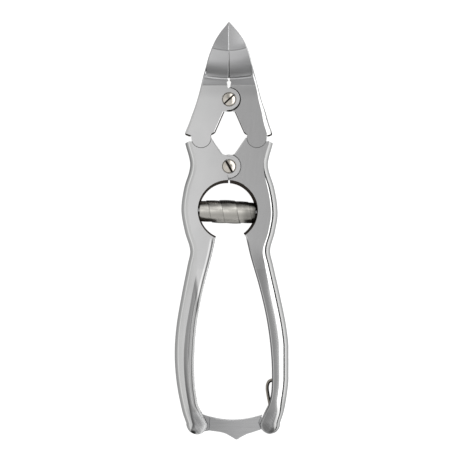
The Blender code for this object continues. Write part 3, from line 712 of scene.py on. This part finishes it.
def fork_tools(side):
    """Cutters for the slot in a handle's round end and for the pin's blind hole."""
    x, y = knob_centre(side)
    radius = HEEL_R + GAP if side > 0 else HOOK_THROAT + HOOK_LIP + 2 * GAP
    arc = [(radius * math.cos(a), radius * math.sin(a))
           for a in spread(math.radians(-23), math.radians(110), 33)]
    mouth = [(-0.5 * MM, 4.2 * MM), (-8 * MM, 6.5 * MM), (-8 * MM, -8 * MM), (0.9 * radius, -8 * MM)]
    outline = [(x + side * along, y + up) for along, up in arc + mouth]
    pin_r = (HINGE_R if side > 0 else CATCH_R) + 0.1 * MM
    return [prism("fork", outline, [(SLOT_LOW, 0.0), (SLOT_HIGH, 0.0)]),
            drill(x, y, pin_r, BLIND_TOP)]


def groove_tool():
    """Cutter for the groove in the right handle that houses the lock spring."""
    rows = spread(-75.6 * MM, KNOB_Y + 1.5 * MM, 25)
    inside = [(handle_inner(y) + drift(y) + 2.6 * MM, y) for y in rows]
    outside = [(handle_inner(y) + drift(y) - 3 * MM, y) for y in reversed(rows)]
    return prism("groove", inside + outside, [(SLOT_LOW, 0.0), (SLOT_HIGH, 0.0)])


# ---- lock

def bar_top(x):
    """Height y of the bar's hollow upper edge at x."""
    middle = drift(KNOB_Y)
    return BAR_TOP_Y - BAR_TOP_SAG * (1 - ((x - middle) / (LOCK_PIN_X - 2 * MM)) ** 2)


def lock_bar():
    """Bar with thin tongues for both forks, a hook at the left and a round heel at the right."""
    hinge_x, hinge_y = knob_centre(1)
    catch_x, catch_y = knob_centre(-1)
    left, right = catch_x + BAR_SHOULDER_R + 0.4 * MM, hinge_x - BAR_SHOULDER_R
    edge = 0.14 * MM
    levels = [(BAR_LOW, edge), (BAR_LOW + edge, 0.0), (BAR_HIGH - edge, 0.0), (BAR_HIGH, edge),
              (BAR_HIGH, 2.6 * edge)]
    body = prism("lock_bar_body", thick_outline(left, right), levels)
    tongue = [(TONGUE_LOW, 0.06 * MM), (TONGUE_LOW + 0.06 * MM, 0.0),
              (TONGUE_HIGH - 0.06 * MM, 0.0), (TONGUE_HIGH, 0.06 * MM)]
    parts = [prism("hook", hook_outline(catch_x, catch_y, left + 2 * MM), tongue),
             prism("heel", heel_outline(hinge_x, hinge_y, right - 1 * MM), tongue)]
    combine(body, parts, "UNION")
    combine(body, [drill(hinge_x, hinge_y, HINGE_R + 0.1 * MM, PLATE)], "DIFFERENCE")
    return body


def thick_outline(left, right):
    """Outline of the bar's thick middle, with a V at its foot and a notched right end."""
    middle = drift(KNOB_Y)
    top_right = right + 1.35 * MM
    outline = [(x, bar_top(x)) for x in spread(left + 0.35 * MM, top_right, 41)]
    outline += [(right + 0.1 * MM, -94.9 * MM), (right + 0.85 * MM, -96.9 * MM),
                (right + 0.6 * MM, BAR_LOW_Y + 0.35 * MM)]
    foot = [(6.9, 2.6), (5.2, 2.1), (3.6, 1.3), (2.6, 0.75), (1.9, 0.25), (1.5, 0.05), (1.2, 0.0),
            (0.9, 0.06), (0.3, 0.45), (-0.4, 0.9), (-2.6, 2.15), (-3.6, 2.5), (-5.0, 2.85), (-7.0, 3.1)]
    outline += [(middle + a * MM, BAR_POINT_Y + b * MM) for a, b in foot]
    return outline + [(left, BAR_LOW_Y + 0.1 * MM)]


def hook_outline(x, y, root):
    neck = x + 2.4 * MM
    top = [(px, bar_top(px)) for px in spread(root, neck, 9)]
    inside, outside = -HOOK_THROAT, -HOOK_THROAT - HOOK_LIP
    lip = -CATCH_R - CATCH_DROP
    hook = [(1.9 * MM, 1.4 * MM), (1.3 * MM, 1.0 * MM), (1.3 * MM, -HOOK_FLOOR), (inside, -HOOK_FLOOR),
            (inside, lip), (inside - 0.5 * MM, lip), (outside, lip - 0.5 * MM),
            (outside, 0.3 * MM - HOOK_BASE), (outside + 0.7 * MM, -HOOK_BASE), (1.6 * MM, -HOOK_BASE)]
    return top + [(x + px, y + py) for px, py in hook] + [(root, BAR_LOW_Y + 0.3 * MM)]


def heel_outline(x, y, root):
    outline = circle(x, y, HEEL_R, 48, start=math.radians(-105), turn=math.radians(215))
    return outline + [(root, bar_top(root) - 0.3 * MM), (root, BAR_LOW_Y + 0.5 * MM)]


# ---- small parts

def screw(name, y, slot_angle, half):
    """Slotted screw whose low cone of a head carries a rim."""
    profile = [(0.1 * MM, 1.4 * MM), (0.25 * MM, 1.5 * MM), (PLATE - 1.2 * MM, 1.5 * MM),
               (PLATE - 1.2 * MM, SCREW_R - 0.05 * MM), (PLATE - 0.55 * MM, SCREW_R)]
    count = 14
    for k in range(count + 1):
        share = k / count
        radius = SCREW_R * (1 - 0.985 * share)
        height = SCREW_TOP - 0.75 * MM * ((1 - share) ** 1.7) - (0.1 * MM if k == 0 else 0.0)
        profile.append((height, radius))
    rings = [[(px, py + y, z) for px, py in circle(0.0, 0.0, r, 72)] for z, r in profile]
    body = loft(name, rings)
    reach = SCREW_R + MM
    cos, sin = math.cos(slot_angle), math.sin(slot_angle)
    box = [(-reach, -half), (reach, -half), (reach, half), (-reach, half)]
    slot = [(a * cos - b * sin, y + a * sin + b * cos) for a, b in box]
    levels = [(SCREW_TOP - 1.1 * MM, 0.05 * MM), (SCREW_TOP + MM, -0.05 * MM)]
    combine(body, [prism("slot", slot, levels)], "DIFFERENCE")
    return body


def pin(name, x, y, radius, low, high):
    edge = 0.15 * MM
    profile = [(low, radius - edge), (low + 0.3 * edge, radius - 0.3 * edge), (low + edge, radius),
               (high - edge, radius), (high, radius - edge)]
    return loft(name, [[(px, py, z) for px, py in circle(x, y, r, 48)] for z, r in profile])


def peg(name, side):
    ends = (side * (SPRING_ENDS[1] - 2.4 * MM), side * (OPENING_R + 2.6 * MM))
    profile = [(ends[0], 0.85 * MM), (ends[0] + side * 0.25 * MM, 1.1 * MM), (ends[1], 1.1 * MM)]
    return on_spring_axis(turned(name, profile))


def barrel_spring():
    """Strip rolled into a double volute: each turn dives under the one nearer the middle.

    A list holds a painted-shade factor for each point, which is low at the strip's edges and inside.
    """
    turns, pitch, thick = 2.75, 4.9 * MM, 0.24 * MM
    curl = 0.12 * MM
    count = int(turns * 2 * 64)
    sections, painted_shade = [], []
    for k in range(count + 1):
        turn = mix(-turns, turns, k / count)
        angle = 2 * math.pi * turn
        radius = 4.14 * MM - 0.27 * MM * abs(turn) ** 1.1
        end = ease(turns - abs(turn), 0.0, 0.12)
        half = mix(0.9 * MM, 2.75 * MM, end)
        along = -0.5 * MM + pitch * turn
        along = max(min(along, SPRING_ENDS[1] - half), half + SPRING_ENDS[0])
        section = []
        for w in (-1.0, -0.9, -0.4, 0.0, 0.4, 0.9, 1.0):
            section.append((along + w * half, radius - curl * w * w))
            painted_shade.append(0.4 if abs(w) == 1 else 1.0)
        for w in (1.0, 0.4, -0.4, -1.0):
            section.append((along + w * half, radius - thick - curl * w * w))
            painted_shade.append(0.4)
        stretch = COIL_STRETCH[0] if math.cos(angle) > 0 else COIL_STRETCH[1]
        sections.append([(a, r * math.cos(angle) * stretch - COIL_DROP, r * math.sin(angle))
                         for a, r in section])
    coil = on_spring_axis(loft("barrel_spring_strip", sections))
    painted_light(coil, spring_painted_light)
    # darken the strip's edges and inner face with painted shade
    for value, share in zip(coil.data.attributes["painted_light"].data, painted_shade):
        value.value *= share
    return coil


def leaf_spring():
    """Bent strip that bows out of the right handle and bears on the bar's heel."""
    path = resample(LEAF_PATH, 8)
    rings = []
    for k, (x, y) in enumerate(path):
        before, after = path[max(k - 1, 0)], path[min(k + 1, len(path) - 1)]
        length = math.hypot(after[0] - before[0], after[1] - before[1])
        nx, ny = -(after[1] - before[1]) / length, (after[0] - before[0]) / length
        low, high, half, edge = TONGUE_LOW, TONGUE_HIGH, LEAF_THICK / 2, 0.1 * MM
        section = [(-half, low + edge), (-half + edge, low), (half - edge, low), (half, low + edge),
                   (half, high - 0.5 * MM), (half - 0.5 * MM, high), (-half + edge, high),
                   (-half, high - edge)]
        rings.append([(x + nx * a, y + ny * a, z) for a, z in section])
    return loft("lock_spring_strip", rings)


def resample(points, per_span):
    knots = [(x * MM, y * MM) for x, y in points]
    result = []
    for i in range(len(knots) - 1):
        a, b = knots[max(i - 1, 0)], knots[i]
        c, d = knots[i + 1], knots[min(i + 2, len(knots) - 1)]
        for k in range(per_span):
            t = k / per_span
            result.append(tuple(catmull_rom(a[n], b[n], c[n], d[n], t) for n in (0, 1)))
    return result + [knots[-1]]


def catmull_rom(a, b, c, d, t):
    curve = (2 * a - 5 * b + 4 * c - d) * t**2 + (3 * b - a - 3 * c + d) * t**3
    return 0.5 * (2 * b + (c - a) * t + curve)


# ---- materials

class Nodes:
    """Shorthand for building a node tree."""

    def __init__(self, tree):
        self.tree = tree

    def add(self, kind, **settings):
        node = self.tree.nodes.new("ShaderNode" + kind)
        for key, value in settings.items():
            setattr(node, key, value)
        return node

    def link(self, source, target):
        self.tree.links.new(source, target)

    def math(self, operation, a, b):
        node = self.add("Math", operation=operation)
        for socket, value in zip(node.inputs, (a, b)):
            if isinstance(value, (int, float)):
                socket.default_value = value
            else:
                self.link(value, socket)
        return node.outputs[0]

    def remap(self, value, low, high, new_low, new_high, kind="LINEAR"):
        node = self.add("MapRange", interpolation_type=kind)
        self.link(value, node.inputs["Value"])
        for key, number in zip(("From Min", "From Max", "To Min", "To Max"), (low, high, new_low, new_high)):
            node.inputs[key].default_value = number
        return node.outputs["Result"]

    def colours(self, factor, first, second):
        node = self.add("Mix", data_type="RGBA")
        self.link(factor, node.inputs["Factor"])
        for socket, value in ((node.inputs[6], first), (node.inputs[7], second)):
            if isinstance(value, tuple):
                socket.default_value = (*value, 1.0)
            else:
                self.link(value, socket)
        return node.outputs[2]

    def place(self, rotation=(0, 0, 0), scale=(1, 1, 1)):
        coords = self.add("TexCoord")
        turn = self.add("Mapping")
        turn.inputs["Rotation"].default_value = rotation
        self.link(coords.outputs["Object"], turn.inputs["Vector"])
        stretch = self.add("VectorMath", operation="MULTIPLY")
        stretch.inputs[1].default_value = scale
        self.link(turn.outputs["Vector"], stretch.inputs[0])
        return stretch.outputs["Vector"]

    def noise(self, vector, detail, roughness=0.55):
        node = self.add("TexNoise")
        node.inputs["Scale"].default_value = 1.0
        node.inputs["Detail"].default_value = detail
        node.inputs["Roughness"].default_value = roughness
        self.link(vector, node.inputs["Vector"])
        return node.outputs["Fac"]


def steel(name, colour, rough, grain, turn=0.0, depth=0.02, contrast=0.06, blotch=0.04, smear=0.05,
          with_painted_light=False, metal=1.0):
    """Steel with a grain: grain is the number of lines per metre across, and along the grain.

    depth is the lines' depth in millimetres, contrast the colour difference they make, blotch
    the wide colour variation and smear the roughness variation.
    """
    made = bpy.data.materials.new(name)
    made.use_nodes = True
    tree = made.node_tree
    shader = tree.nodes["Principled BSDF"]
    shader.inputs["Metallic"].default_value = metal
    shader.inputs["Specular IOR Level"].default_value = 0.5 if metal else 0.0
    shader.inputs["Specular Tint"].default_value = (0.6, 0.6, 0.6, 1.0)
    n = Nodes(tree)
    across, along = grain
    lines = n.noise(n.place((0, 0, turn), (across, along, across)), 4.0, 0.6)
    fine = n.noise(n.place((0, 0, turn + 0.07), (2.3 * across, 1.7 * along, 2.3 * across)), 2.0, 0.5)
    wide = n.noise(n.place((0.3, 0.2, 0.4), (90, 60, 90)), 2.0, 0.5)
    both = n.math("ADD", n.math("MULTIPLY", lines, 0.65), n.math("MULTIPLY", fine, 0.35))
    dark = tuple(c * (1 - contrast) for c in colour)
    light = tuple(min(c * (1 + contrast), 1.0) for c in colour)
    grained = n.colours(n.remap(both, 0.35, 0.65, 0.0, 1.0), dark, light)
    cool = tuple(c * (1 - blotch) * t for c, t in zip(colour, (0.99, 0.995, 1.0)))
    shaded = n.colours(n.remap(wide, 0.3, 0.7, 0.0, 0.55), grained, cool)
    # multiply the colour by the painted light and shade stored on the vertices
    if with_painted_light:
        layer = n.add("Attribute", attribute_name="painted_light")
        scaled = n.add("Mix", data_type="RGBA", blend_type="MULTIPLY")
        scaled.inputs[0].default_value = 1.0
        n.link(shaded, scaled.inputs[6])
        n.link(layer.outputs["Color"], scaled.inputs[7])
        shaded = scaled.outputs[2]
    n.link(shaded, shader.inputs["Base Color"])
    ground = n.math("ADD", n.remap(both, 0.3, 0.7, rough - smear / 2, rough + smear / 2),
                    n.remap(wide, 0.3, 0.7, -smear / 2, smear / 2))
    n.link(ground, shader.inputs["Roughness"])
    bump = n.add("Bump")
    bump.inputs["Strength"].default_value = 1.0
    bump.inputs["Distance"].default_value = depth * MM
    n.link(both, bump.inputs["Height"])
    n.link(bump.outputs["Normal"], shader.inputs["Normal"])
    return made


# ---- build

def make_materials():
    grey = (0.622, 0.62, 0.62)
    soft = {"depth": 0.0012, "with_painted_light": True}
    return {
        "satin": steel("satin_steel", grey, 0.20, (1500, 120), 0.1, contrast=0.025, **soft),
        "polished": steel("polished_steel", (0.605, 0.605, 0.6), 0.12, (1300, 70), contrast=0.03, **soft),
        "grip": steel("grip_steel", (0.622, 0.62, 0.618), 0.15, (1300, 80), contrast=0.03, **soft),
        "ground": steel("ground_steel", (0.6, 0.6, 0.605), 0.2, (160, 2600), depth=0.002, contrast=0.04,
                        with_painted_light=True),
        # dark steel laid as painted shade on walls, slot floors, holes and recess floors
        "wall": steel("painted_shade_wall_steel", (0.05, 0.043, 0.037), 0.5, (600, 600), 0.3, depth=0.004,
                      contrast=0.25, metal=0.0),
        # darker steel laid as painted shade on the walls of the gaps between parts and of the relief hole
        "seam": steel("painted_shade_seam_steel", (0.3, 0.295, 0.285), 0.35, (900, 300), 0.2, depth=0.004, contrast=0.2),
        "knob": steel("knob_steel", (0.6, 0.6, 0.602), 0.22, (160, 1700), math.radians(52), depth=0.006,
                      contrast=0.1, with_painted_light=True),
        "bar": steel("brushed_bar_steel", (0.56, 0.56, 0.565), 0.27, (110, 2400), depth=0.004, contrast=0.09,
                     with_painted_light=True),
        "screw": steel("screw_steel", (0.6, 0.565, 0.51), 0.2, (1200, 160), 0.8, depth=0.004, contrast=0.12),
        "pin": steel("pin_steel", (0.55, 0.55, 0.56), 0.3, (900, 300), 0.4, depth=0.003, contrast=0.08),
        "spring": steel("spring_steel", (0.57, 0.553, 0.512), 0.3, (2200, 260), depth=0.004, contrast=0.07,
                        with_painted_light=True),
        "leaf": steel("leaf_spring_steel", (0.42, 0.385, 0.34), 0.28, (1500, 300), depth=0.004, contrast=0.08,
                      with_painted_light=True),
    }


def jaw_painted_light(side):
    """Painted light and shade on a jaw's steel: painted shade on the thin outermost edge, in the scoop,
    beyond the arc, along the arc crease and below the ridge, and a painted highlight before the arc on the
    left jaw.
    """
    def shade_at(c):
        u = jaw_edge(c.y, side) - side * c.x
        # painted shade on the thin outermost edge
        value = mix(0.6, 1.0, fade(u, 0.1, 0.42))
        arc = ARC_Y + 1.1 * MM * (c.x / (6.6 * MM)) ** 2
        # painted shade in the scoop
        painted_shade = fade(c.y, 41.0, 34.5) if side > 0 else ease(c.y, arc + 0.2 * MM, arc)
        scoop = fade(c.y, 32.9, 33.4) * painted_shade
        # painted shade beyond the arc, a painted highlight before the arc on the left jaw and painted shade
        # on the right jaw's flats below 28 mm
        if side < 0:
            value *= dim(0.94, ease(c.y, arc, arc + 0.2 * MM))
            value *= dim(1.2, fade(c.y, 37, 40) * ease(c.y, arc + 0.2 * MM, arc))
        else:
            value *= dim(0.88, ease(c.y, arc, arc + 0.2 * MM))
            value *= mix(0.94, 1.0, fade(c.y, 28, 30))
        # painted shade along the arc crease and on the flats just below the ridge
        line = math.exp(-((c.y - arc - 0.05 * MM) / (0.17 * MM)) ** 2)
        below = fade(c.y, 24, 28.5) * fade(c.y, 30.6, 29.6)
        return value * dim(0.72, scoop) * (1 - 0.4 * line) * dim(0.88, below)
    return shade_at


# factor against the distance from the left grip's inner edge: a fine line of painted shade beside a painted
# highlight
RIM_PAINTED_LIGHT = ((0, 1.0), (0.6, 1.0), (0.75, 0.25), (1.05, 0.25), (1.25, 1.5), (1.7, 1.5), (1.95, 1.0))


def handle_painted_light(side):
    """Painted light and shade on a handle's steel: painted shade on its outer flank and outermost edge, along
    its inner edge, creases and round end, and a painted highlight beside the left grip's inner edge.
    """
    low = {-1: 0.5, 1: 0.62}[side]

    def shade_at(c):
        u = handle_outer(c.y, side) - side * (c.x - drift(c.y))
        # painted shade on the outer flank and the outermost edge
        value = mix(low, 1.0, fade(u, 0.9, 1.55) if side < 0 else fade(u, 0.2, 1.3))
        value *= mix(0.8, 1.0, fade(u, 0.1, 0.5))
        inside = side * (c.x - drift(c.y)) - handle_inner(c.y, side)
        rim = fade(c.y, -26, -28) * fade(c.y, -95, -88) * fade(c.z, 3, 5)
        if side > 0:
            # painted shade along the inner edge, near the round end and on the flank beside it
            value *= dim(0.25, rim * fade(inside, 0.62, 0.42))
            low_end = fade(c.y, -84, -92)
            value *= dim(0.6, low_end * fade(inside, 6.5, 4.5))
            flank = fade(u, 1.0, 1.3) * fade(u, 3.6, 2.4)
            value *= dim(0.5, fade(c.y, -89, -96) * flank)
        else:
            # painted shade beside the band's crease, a fine line of painted shade with a painted highlight
            # along the inner edge, a line of painted shade on the grip, some near the round end and along the
            # head's outer edge
            second = fade(c.y, -43, -50) * fade(c.y, -74, -68)
            wide = band_width(c.y, side, handle_outer(c.y, side) - handle_inner(c.y, side))
            fold = ease(u, wide, wide + 0.15 * MM) * ease(u, wide + 1.3 * MM, wide + 0.35 * MM)
            value *= dim(0.5, fold * fade(c.y, -62, -88) * fade(c.y, -99, -97.5))
            value *= dim(straight_curve(RIM_PAINTED_LIGHT, inside) / MM, rim)
            value *= dim(0.5, second * math.exp(-((inside - 2.1 * MM) / (0.2 * MM)) ** 2))
            value *= dim(0.85, fade(c.y, -90, -94) * fade(inside, 4.2, 2.2))
            value *= dim(0.62, fade(c.y, -12, -4) * fade(u, 0.8, 0.4))
            # painted shadow at the tip of the round end and painted shade along the crease near it
            tip = math.hypot(0.8 * (c.x + 13.3 * MM), c.y + 98.6 * MM)
            value *= mix(0.1, 1.0, fade(tip, 0.6, 1.05))
            crease = fade(u, 3.6, 2.9) * fade(u, 2.2, 2.5)
            value *= dim(0.72, fade(c.y, -88, -92) * crease)
        return value
    return shade_at


def jaw_face(side):
    """Which material a face of a jaw takes, from its centre and normal."""
    def choose(c, n):
        x = side * c.x
        outer = jaw_edge(c.y, side)
        steep = n.z < 0.25
        # the relief hole's walls take painted shade
        if math.hypot(c.x - RELIEF_X, c.y - RELIEF_Y) < RELIEF_R + 0.1 * MM and steep:
            return "seam"
        if steep and n.z > -0.9 and c.z > 0.3 * MM:
            inside = side * n.x < -0.3 and x < outer - 1.5 * MM
            if inside and c.y > 21 * MM and c.z < 3.5 * MM:
                return "ground"
            # inner walls and the shoulders' undersides take the dark wall material as painted shade
            return "wall" if inside or (n.y < -0.5 and c.y < 14 * MM) else "polished"
        # the right jaw's recess floor round the boss takes painted shade
        recess = 3.5 * MM < c.z < MIDDLE and math.hypot(c.x, c.y - JAW_PIVOT_Y) < JAW_BOSS_R + 0.53 * MM
        if side > 0 and recess and n.z > 0.5:
            return "wall"
        if c.y > RIDGE_Y - 2.3 * MM and n.z > 0 and x < outer - 0.2 * MM:
            return "ground"
        if x > outer - 1.9 * MM and n.z > 0 and side * n.x > 0.12:
            return "polished"
        return "satin"
    return choose


def handle_face(side):
    """Which material a face of a handle takes, from its centre and normal."""
    def choose(c, n):
        x = side * (c.x - drift(c.y))
        middle_x, middle_y, reach = (a * MM for a in OPENING_FRONT)
        # the spring opening's wall takes painted shade
        if math.hypot(c.x - middle_x, c.y - middle_y) < reach + 0.05 * MM and abs(n.z) < 0.35:
            return "wall"
        # steep faces in the gaps near the head take painted shade
        if abs(n.z) < 0.25 and c.y > -30 * MM and x < handle_outer(c.y) - 0.5 * MM:
            return "seam"
        # the notch's hole takes painted shade
        if math.hypot(c.x, c.y - NOTCH_Y) < NOTCH_R + 0.07 * MM and c.z < PLATE - 0.2 * MM:
            return "wall"
        if c.y < -90.5 * MM and x < handle_outer(c.y) - 2.4 * MM:
            return "knob"
        if x > handle_outer(c.y) - 3.0 * MM and n.z > 0 and side * n.x > 0.2:
            return "polished"
        return "satin" if c.y > -38 * MM else "grip"
    return choose


def screw_face(c, n):
    """The slot's walls and floor take painted shade; the head is bright."""
    sunk = c.z < SCREW_TOP - 0.8 * MM and n.z > 0.5
    wall = abs(n.z) < 0.3 and c.z > PLATE - 0.7 * MM
    return "wall" if sunk or wall else "screw"


def bar_painted_light(c):
    # painted shade: the bar grows darker towards the left
    return mix(0.7, 0.95, fade(c.x, -6.5, 6.5))


def spring_painted_light(c):
    """Painted light and shade on the barrel spring: painted shade on its far and near flanks and towards its
    right end, a painted highlight just above its axis and a painted glint on its left part.
    """
    up = c.y - OPENING_Y - (c.x - OPENING_X) * math.sin(SPRING_TILT) + COIL_DROP
    value = straight_curve(COIL_PAINTED_LIGHT, up) / MM
    # a painted glint in a line 3 mm above the axis, on the spring's left part
    glint = math.exp(-((up - 3.0 * MM) / (0.3 * MM)) ** 2) * fade(c.x, -3.6, -4.4)
    value = mix(value, 1.6, glint)
    # painted shade towards the right end, deepest at the end itself
    value *= dim(0.62, fade(c.x, 4.4, 6.4))
    return value * dim(0.3, fade(c.x, 8.7, 9.2))


def leaf_painted_light(c):
    """Painted shade on the lock spring: dark brown on the side that faces the handle."""
    best = min(resample(LEAF_PATH, 8), key=lambda p: math.hypot(p[0] - c.x, p[1] - c.y))
    return mix(0.22, 1.0, fade(best[0] - c.x, -0.15, 0.25))


def build_pieces(m):
    """Every detailed piece, on its body, standing for its CAD node."""
    for word, side in (("left", -1), ("right", 1)):
        body = jaw(word + "_jaw_detail", side)
        painted_light(body, jaw_painted_light(side))
        paint(body, m, ("satin", "polished", "ground", "wall", "seam"), jaw_face(side))
        settle(body, word + "_jaw", word + "_jaw")
        body = handle(word + "_handle_detail", side)
        tools = fork_tools(side) + ([groove_tool()] if side > 0 else [])
        combine(body, tools, "DIFFERENCE")
        painted_light(body, handle_painted_light(side))
        paint(body, m, ("satin", "polished", "grip", "wall", "seam", "knob"), handle_face(side))
        settle(body, word + "_handle", word + "_handle")
        part = peg(word + "_spring_peg_detail", side)
        plain(part, m["pin"], word + "_spring_peg", word + "_handle")
        part = pin(word + "_knuckle_pin_detail", side * KNUCKLE_X, KNUCKLE_Y, KNUCKLE_PIN_R, 0.0, PIN_TOP)
        plain(part, m["pin"], word + "_knuckle_pin", word + "_handle")
    for node, y, turn, half, body in (("jaw_pivot_screw", JAW_PIVOT_Y, 43, 0.33 * MM, "right_jaw"),
                                      ("handle_pivot_screw", 0.0, -61, 0.44 * MM, "right_handle")):
        part = screw(node + "_detail", y, math.radians(turn), half)
        paint(part, m, ("screw", "wall"), screw_face)
        settle(part, node, body)
    for node, side, radius, body in (("lock_hinge_pin", 1, HINGE_R, "right_handle"),
                                     ("lock_catch_pin", -1, CATCH_R, "left_handle")):
        part = pin(node + "_detail", *knob_centre(side), radius, 0.4 * MM, PIN_TOP)
        plain(part, m["pin"], node, body)
    bar = lock_bar()
    painted_light(bar, bar_painted_light)
    plain(bar, m["bar"], "lock_bar", "lock_bar")
    leaf = leaf_spring()
    painted_light(leaf, leaf_painted_light)
    plain(leaf, m["leaf"], "lock_spring", "right_handle")
    coil = barrel_spring()
    coil.data.materials.append(m["spring"])
    shade(coil, 30)
    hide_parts("barrel_spring")
    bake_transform(coil)


def settle(piece, node, body):
    """Shade a piece and put it on its body in place of its CAD node."""
    shade(piece)
    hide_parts(node)
    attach(piece, body)


def plain(piece, material, node, body):
    """settle() for a piece with one material."""
    piece.data.materials.clear()
    piece.data.materials.append(material)
    settle(piece, node, body)


# ---- studio

PICTURE_WIDTH = 0.16946
SENSOR_WIDTH = 36.0


def camera():
    """Straight above the tool; the picture is PICTURE_WIDTH wide at the front faces."""
    data = bpy.data.cameras.new("camera")
    made = bpy.data.objects.new("camera", data)
    bpy.context.scene.collection.objects.link(made)
    distance = 1.0
    data.sensor_width = SENSOR_WIDTH
    data.lens = SENSOR_WIDTH * distance / PICTURE_WIDTH
    data.clip_start, data.clip_end = 0.01, 20.0
    made.location = (0.0, -0.0232, distance + PLATE)
    bpy.context.scene.camera = made


def floor():
    """Plain white table that gives a little light of its own."""
    bm = bmesh.new()
    half = 2.5
    square = ((-half, -half), (half, -half), (half, half), (-half, half))
    bm.faces.new([bm.verts.new((x, y, -0.02 * MM)) for x, y in square])
    made = new_object("floor", bm)
    material = bpy.data.materials.new("floor_white")
    material.use_nodes = True
    shader = material.node_tree.nodes["Principled BSDF"]
    n = Nodes(material.node_tree)
    cloud = n.noise(n.place(scale=(9, 9, 9)), 2.0)
    n.link(n.colours(cloud, (0.24, 0.24, 0.24), (0.27, 0.27, 0.27)), shader.inputs["Base Color"])
    shader.inputs["Roughness"].default_value = 0.9
    shader.inputs["Specular IOR Level"].default_value = 0.0
    shader.inputs["Emission Color"].default_value = (1.0, 1.0, 1.0, 1.0)
    shader.inputs["Emission Strength"].default_value = 0.96
    made.data.materials.append(material)


SKY_SCALE = 3.0
SKY_LOW, SKY_HIGH = -60.0, 100.0
# what camera rays see beyond the floor, before SKY_SCALE
BACKDROP = (0.3, 0.3, 0.3)
# radiance against the angle from straight up (- is to the left), at several slopes towards the tip
SOFT_BOX = ((37, 0.95), (40, 2.6), (66, 2.6), (69, 0.03), (100, 0.03))
SKY = {
    -42: ((-60, 0.88), (-8, 0.9), (0, 0.82), (28, 0.72)) + SOFT_BOX,
    -14: ((-60, 0.88), (-8, 0.95), (0, 0.76), (28, 0.64)) + SOFT_BOX,
    -6: ((-60, 0.88), (-20, 1.0), (-7, 1.1), (-5, 1.0), (-3, 0.86), (2, 0.69), (6, 0.64), (11, 0.42),
         (18, 0.4), (26, 0.47), (31, 0.6)) + SOFT_BOX,
    5: ((-60, 0.88), (-20, 1.0), (-7, 1.02), (-5, 0.94), (-3, 0.8), (2, 0.53), (6, 0.47), (11, 0.38),
        (18, 0.38), (26, 0.45), (31, 0.56)) + SOFT_BOX,
    13: ((-60, 0.88), (-30, 0.85), (-11, 0.55), (-3, 0.5), (2, 0.42), (10, 0.3), (26, 0.3),
         (31, 0.5)) + SOFT_BOX,
    22: ((-60, 0.86), (-30, 0.8), (-11, 0.4), (2, 0.32), (10, 0.3), (26, 0.3), (32, 0.7)) + SOFT_BOX,
    33: ((-60, 0.8), (-30, 0.7), (-16, 0.44), (-5, 0.54), (3, 0.58), (10, 0.68), (14, 1.1), (19, 2.1),
         (66, 2.3), (69, 0.03), (100, 0.03)),
}


def sky():
    """Wide soft light: a pale wall to the left, a dim ceiling and a bright soft box to the right."""
    world = bpy.data.worlds.new("studio")
    bpy.context.scene.world = world
    world.use_nodes = True
    tree = world.node_tree
    n = Nodes(tree)
    coords = n.add("TexCoord")
    parts = n.add("SeparateXYZ")
    n.link(coords.outputs["Generated"], parts.inputs[0])
    degrees = 180.0 / math.pi
    across = n.math("MULTIPLY", n.math("ARCTAN2", parts.outputs[0], parts.outputs[2]), degrees)
    along = n.math("MULTIPLY", n.math("ARCTAN2", parts.outputs[1], parts.outputs[2]), degrees)
    place = n.remap(across, SKY_LOW, SKY_HIGH, 0.0, 1.0)
    rows = list(SKY)
    result = None
    for k, row in enumerate(rows):
        ramp = n.add("ValToRGB")
        n.link(place, ramp.inputs[0])
        elements = ramp.color_ramp.elements
        for i, (angle, value) in enumerate(SKY[row]):
            where = (angle - SKY_LOW) / (SKY_HIGH - SKY_LOW)
            element = elements[i] if i < 2 else elements.new(where)
            element.position = where
            shade_value = value / SKY_SCALE
            element.color = (shade_value, shade_value, shade_value, 1.0)
        colour = ramp.outputs["Color"]
        if result is None:
            result = colour
        else:
            result = n.colours(n.remap(along, rows[k - 1], row, 0.0, 1.0, "SMOOTHSTEP"), result, colour)
    background = tree.nodes["Background"]
    seen = n.add("LightPath").outputs["Is Camera Ray"]
    n.link(n.colours(seen, result, BACKDROP), background.inputs["Color"])
    background.inputs["Strength"].default_value = SKY_SCALE


# ---- scene

camera()
bpy.context.scene.view_settings.view_transform = "Standard"
build_pieces(make_materials())
floor()
sky()
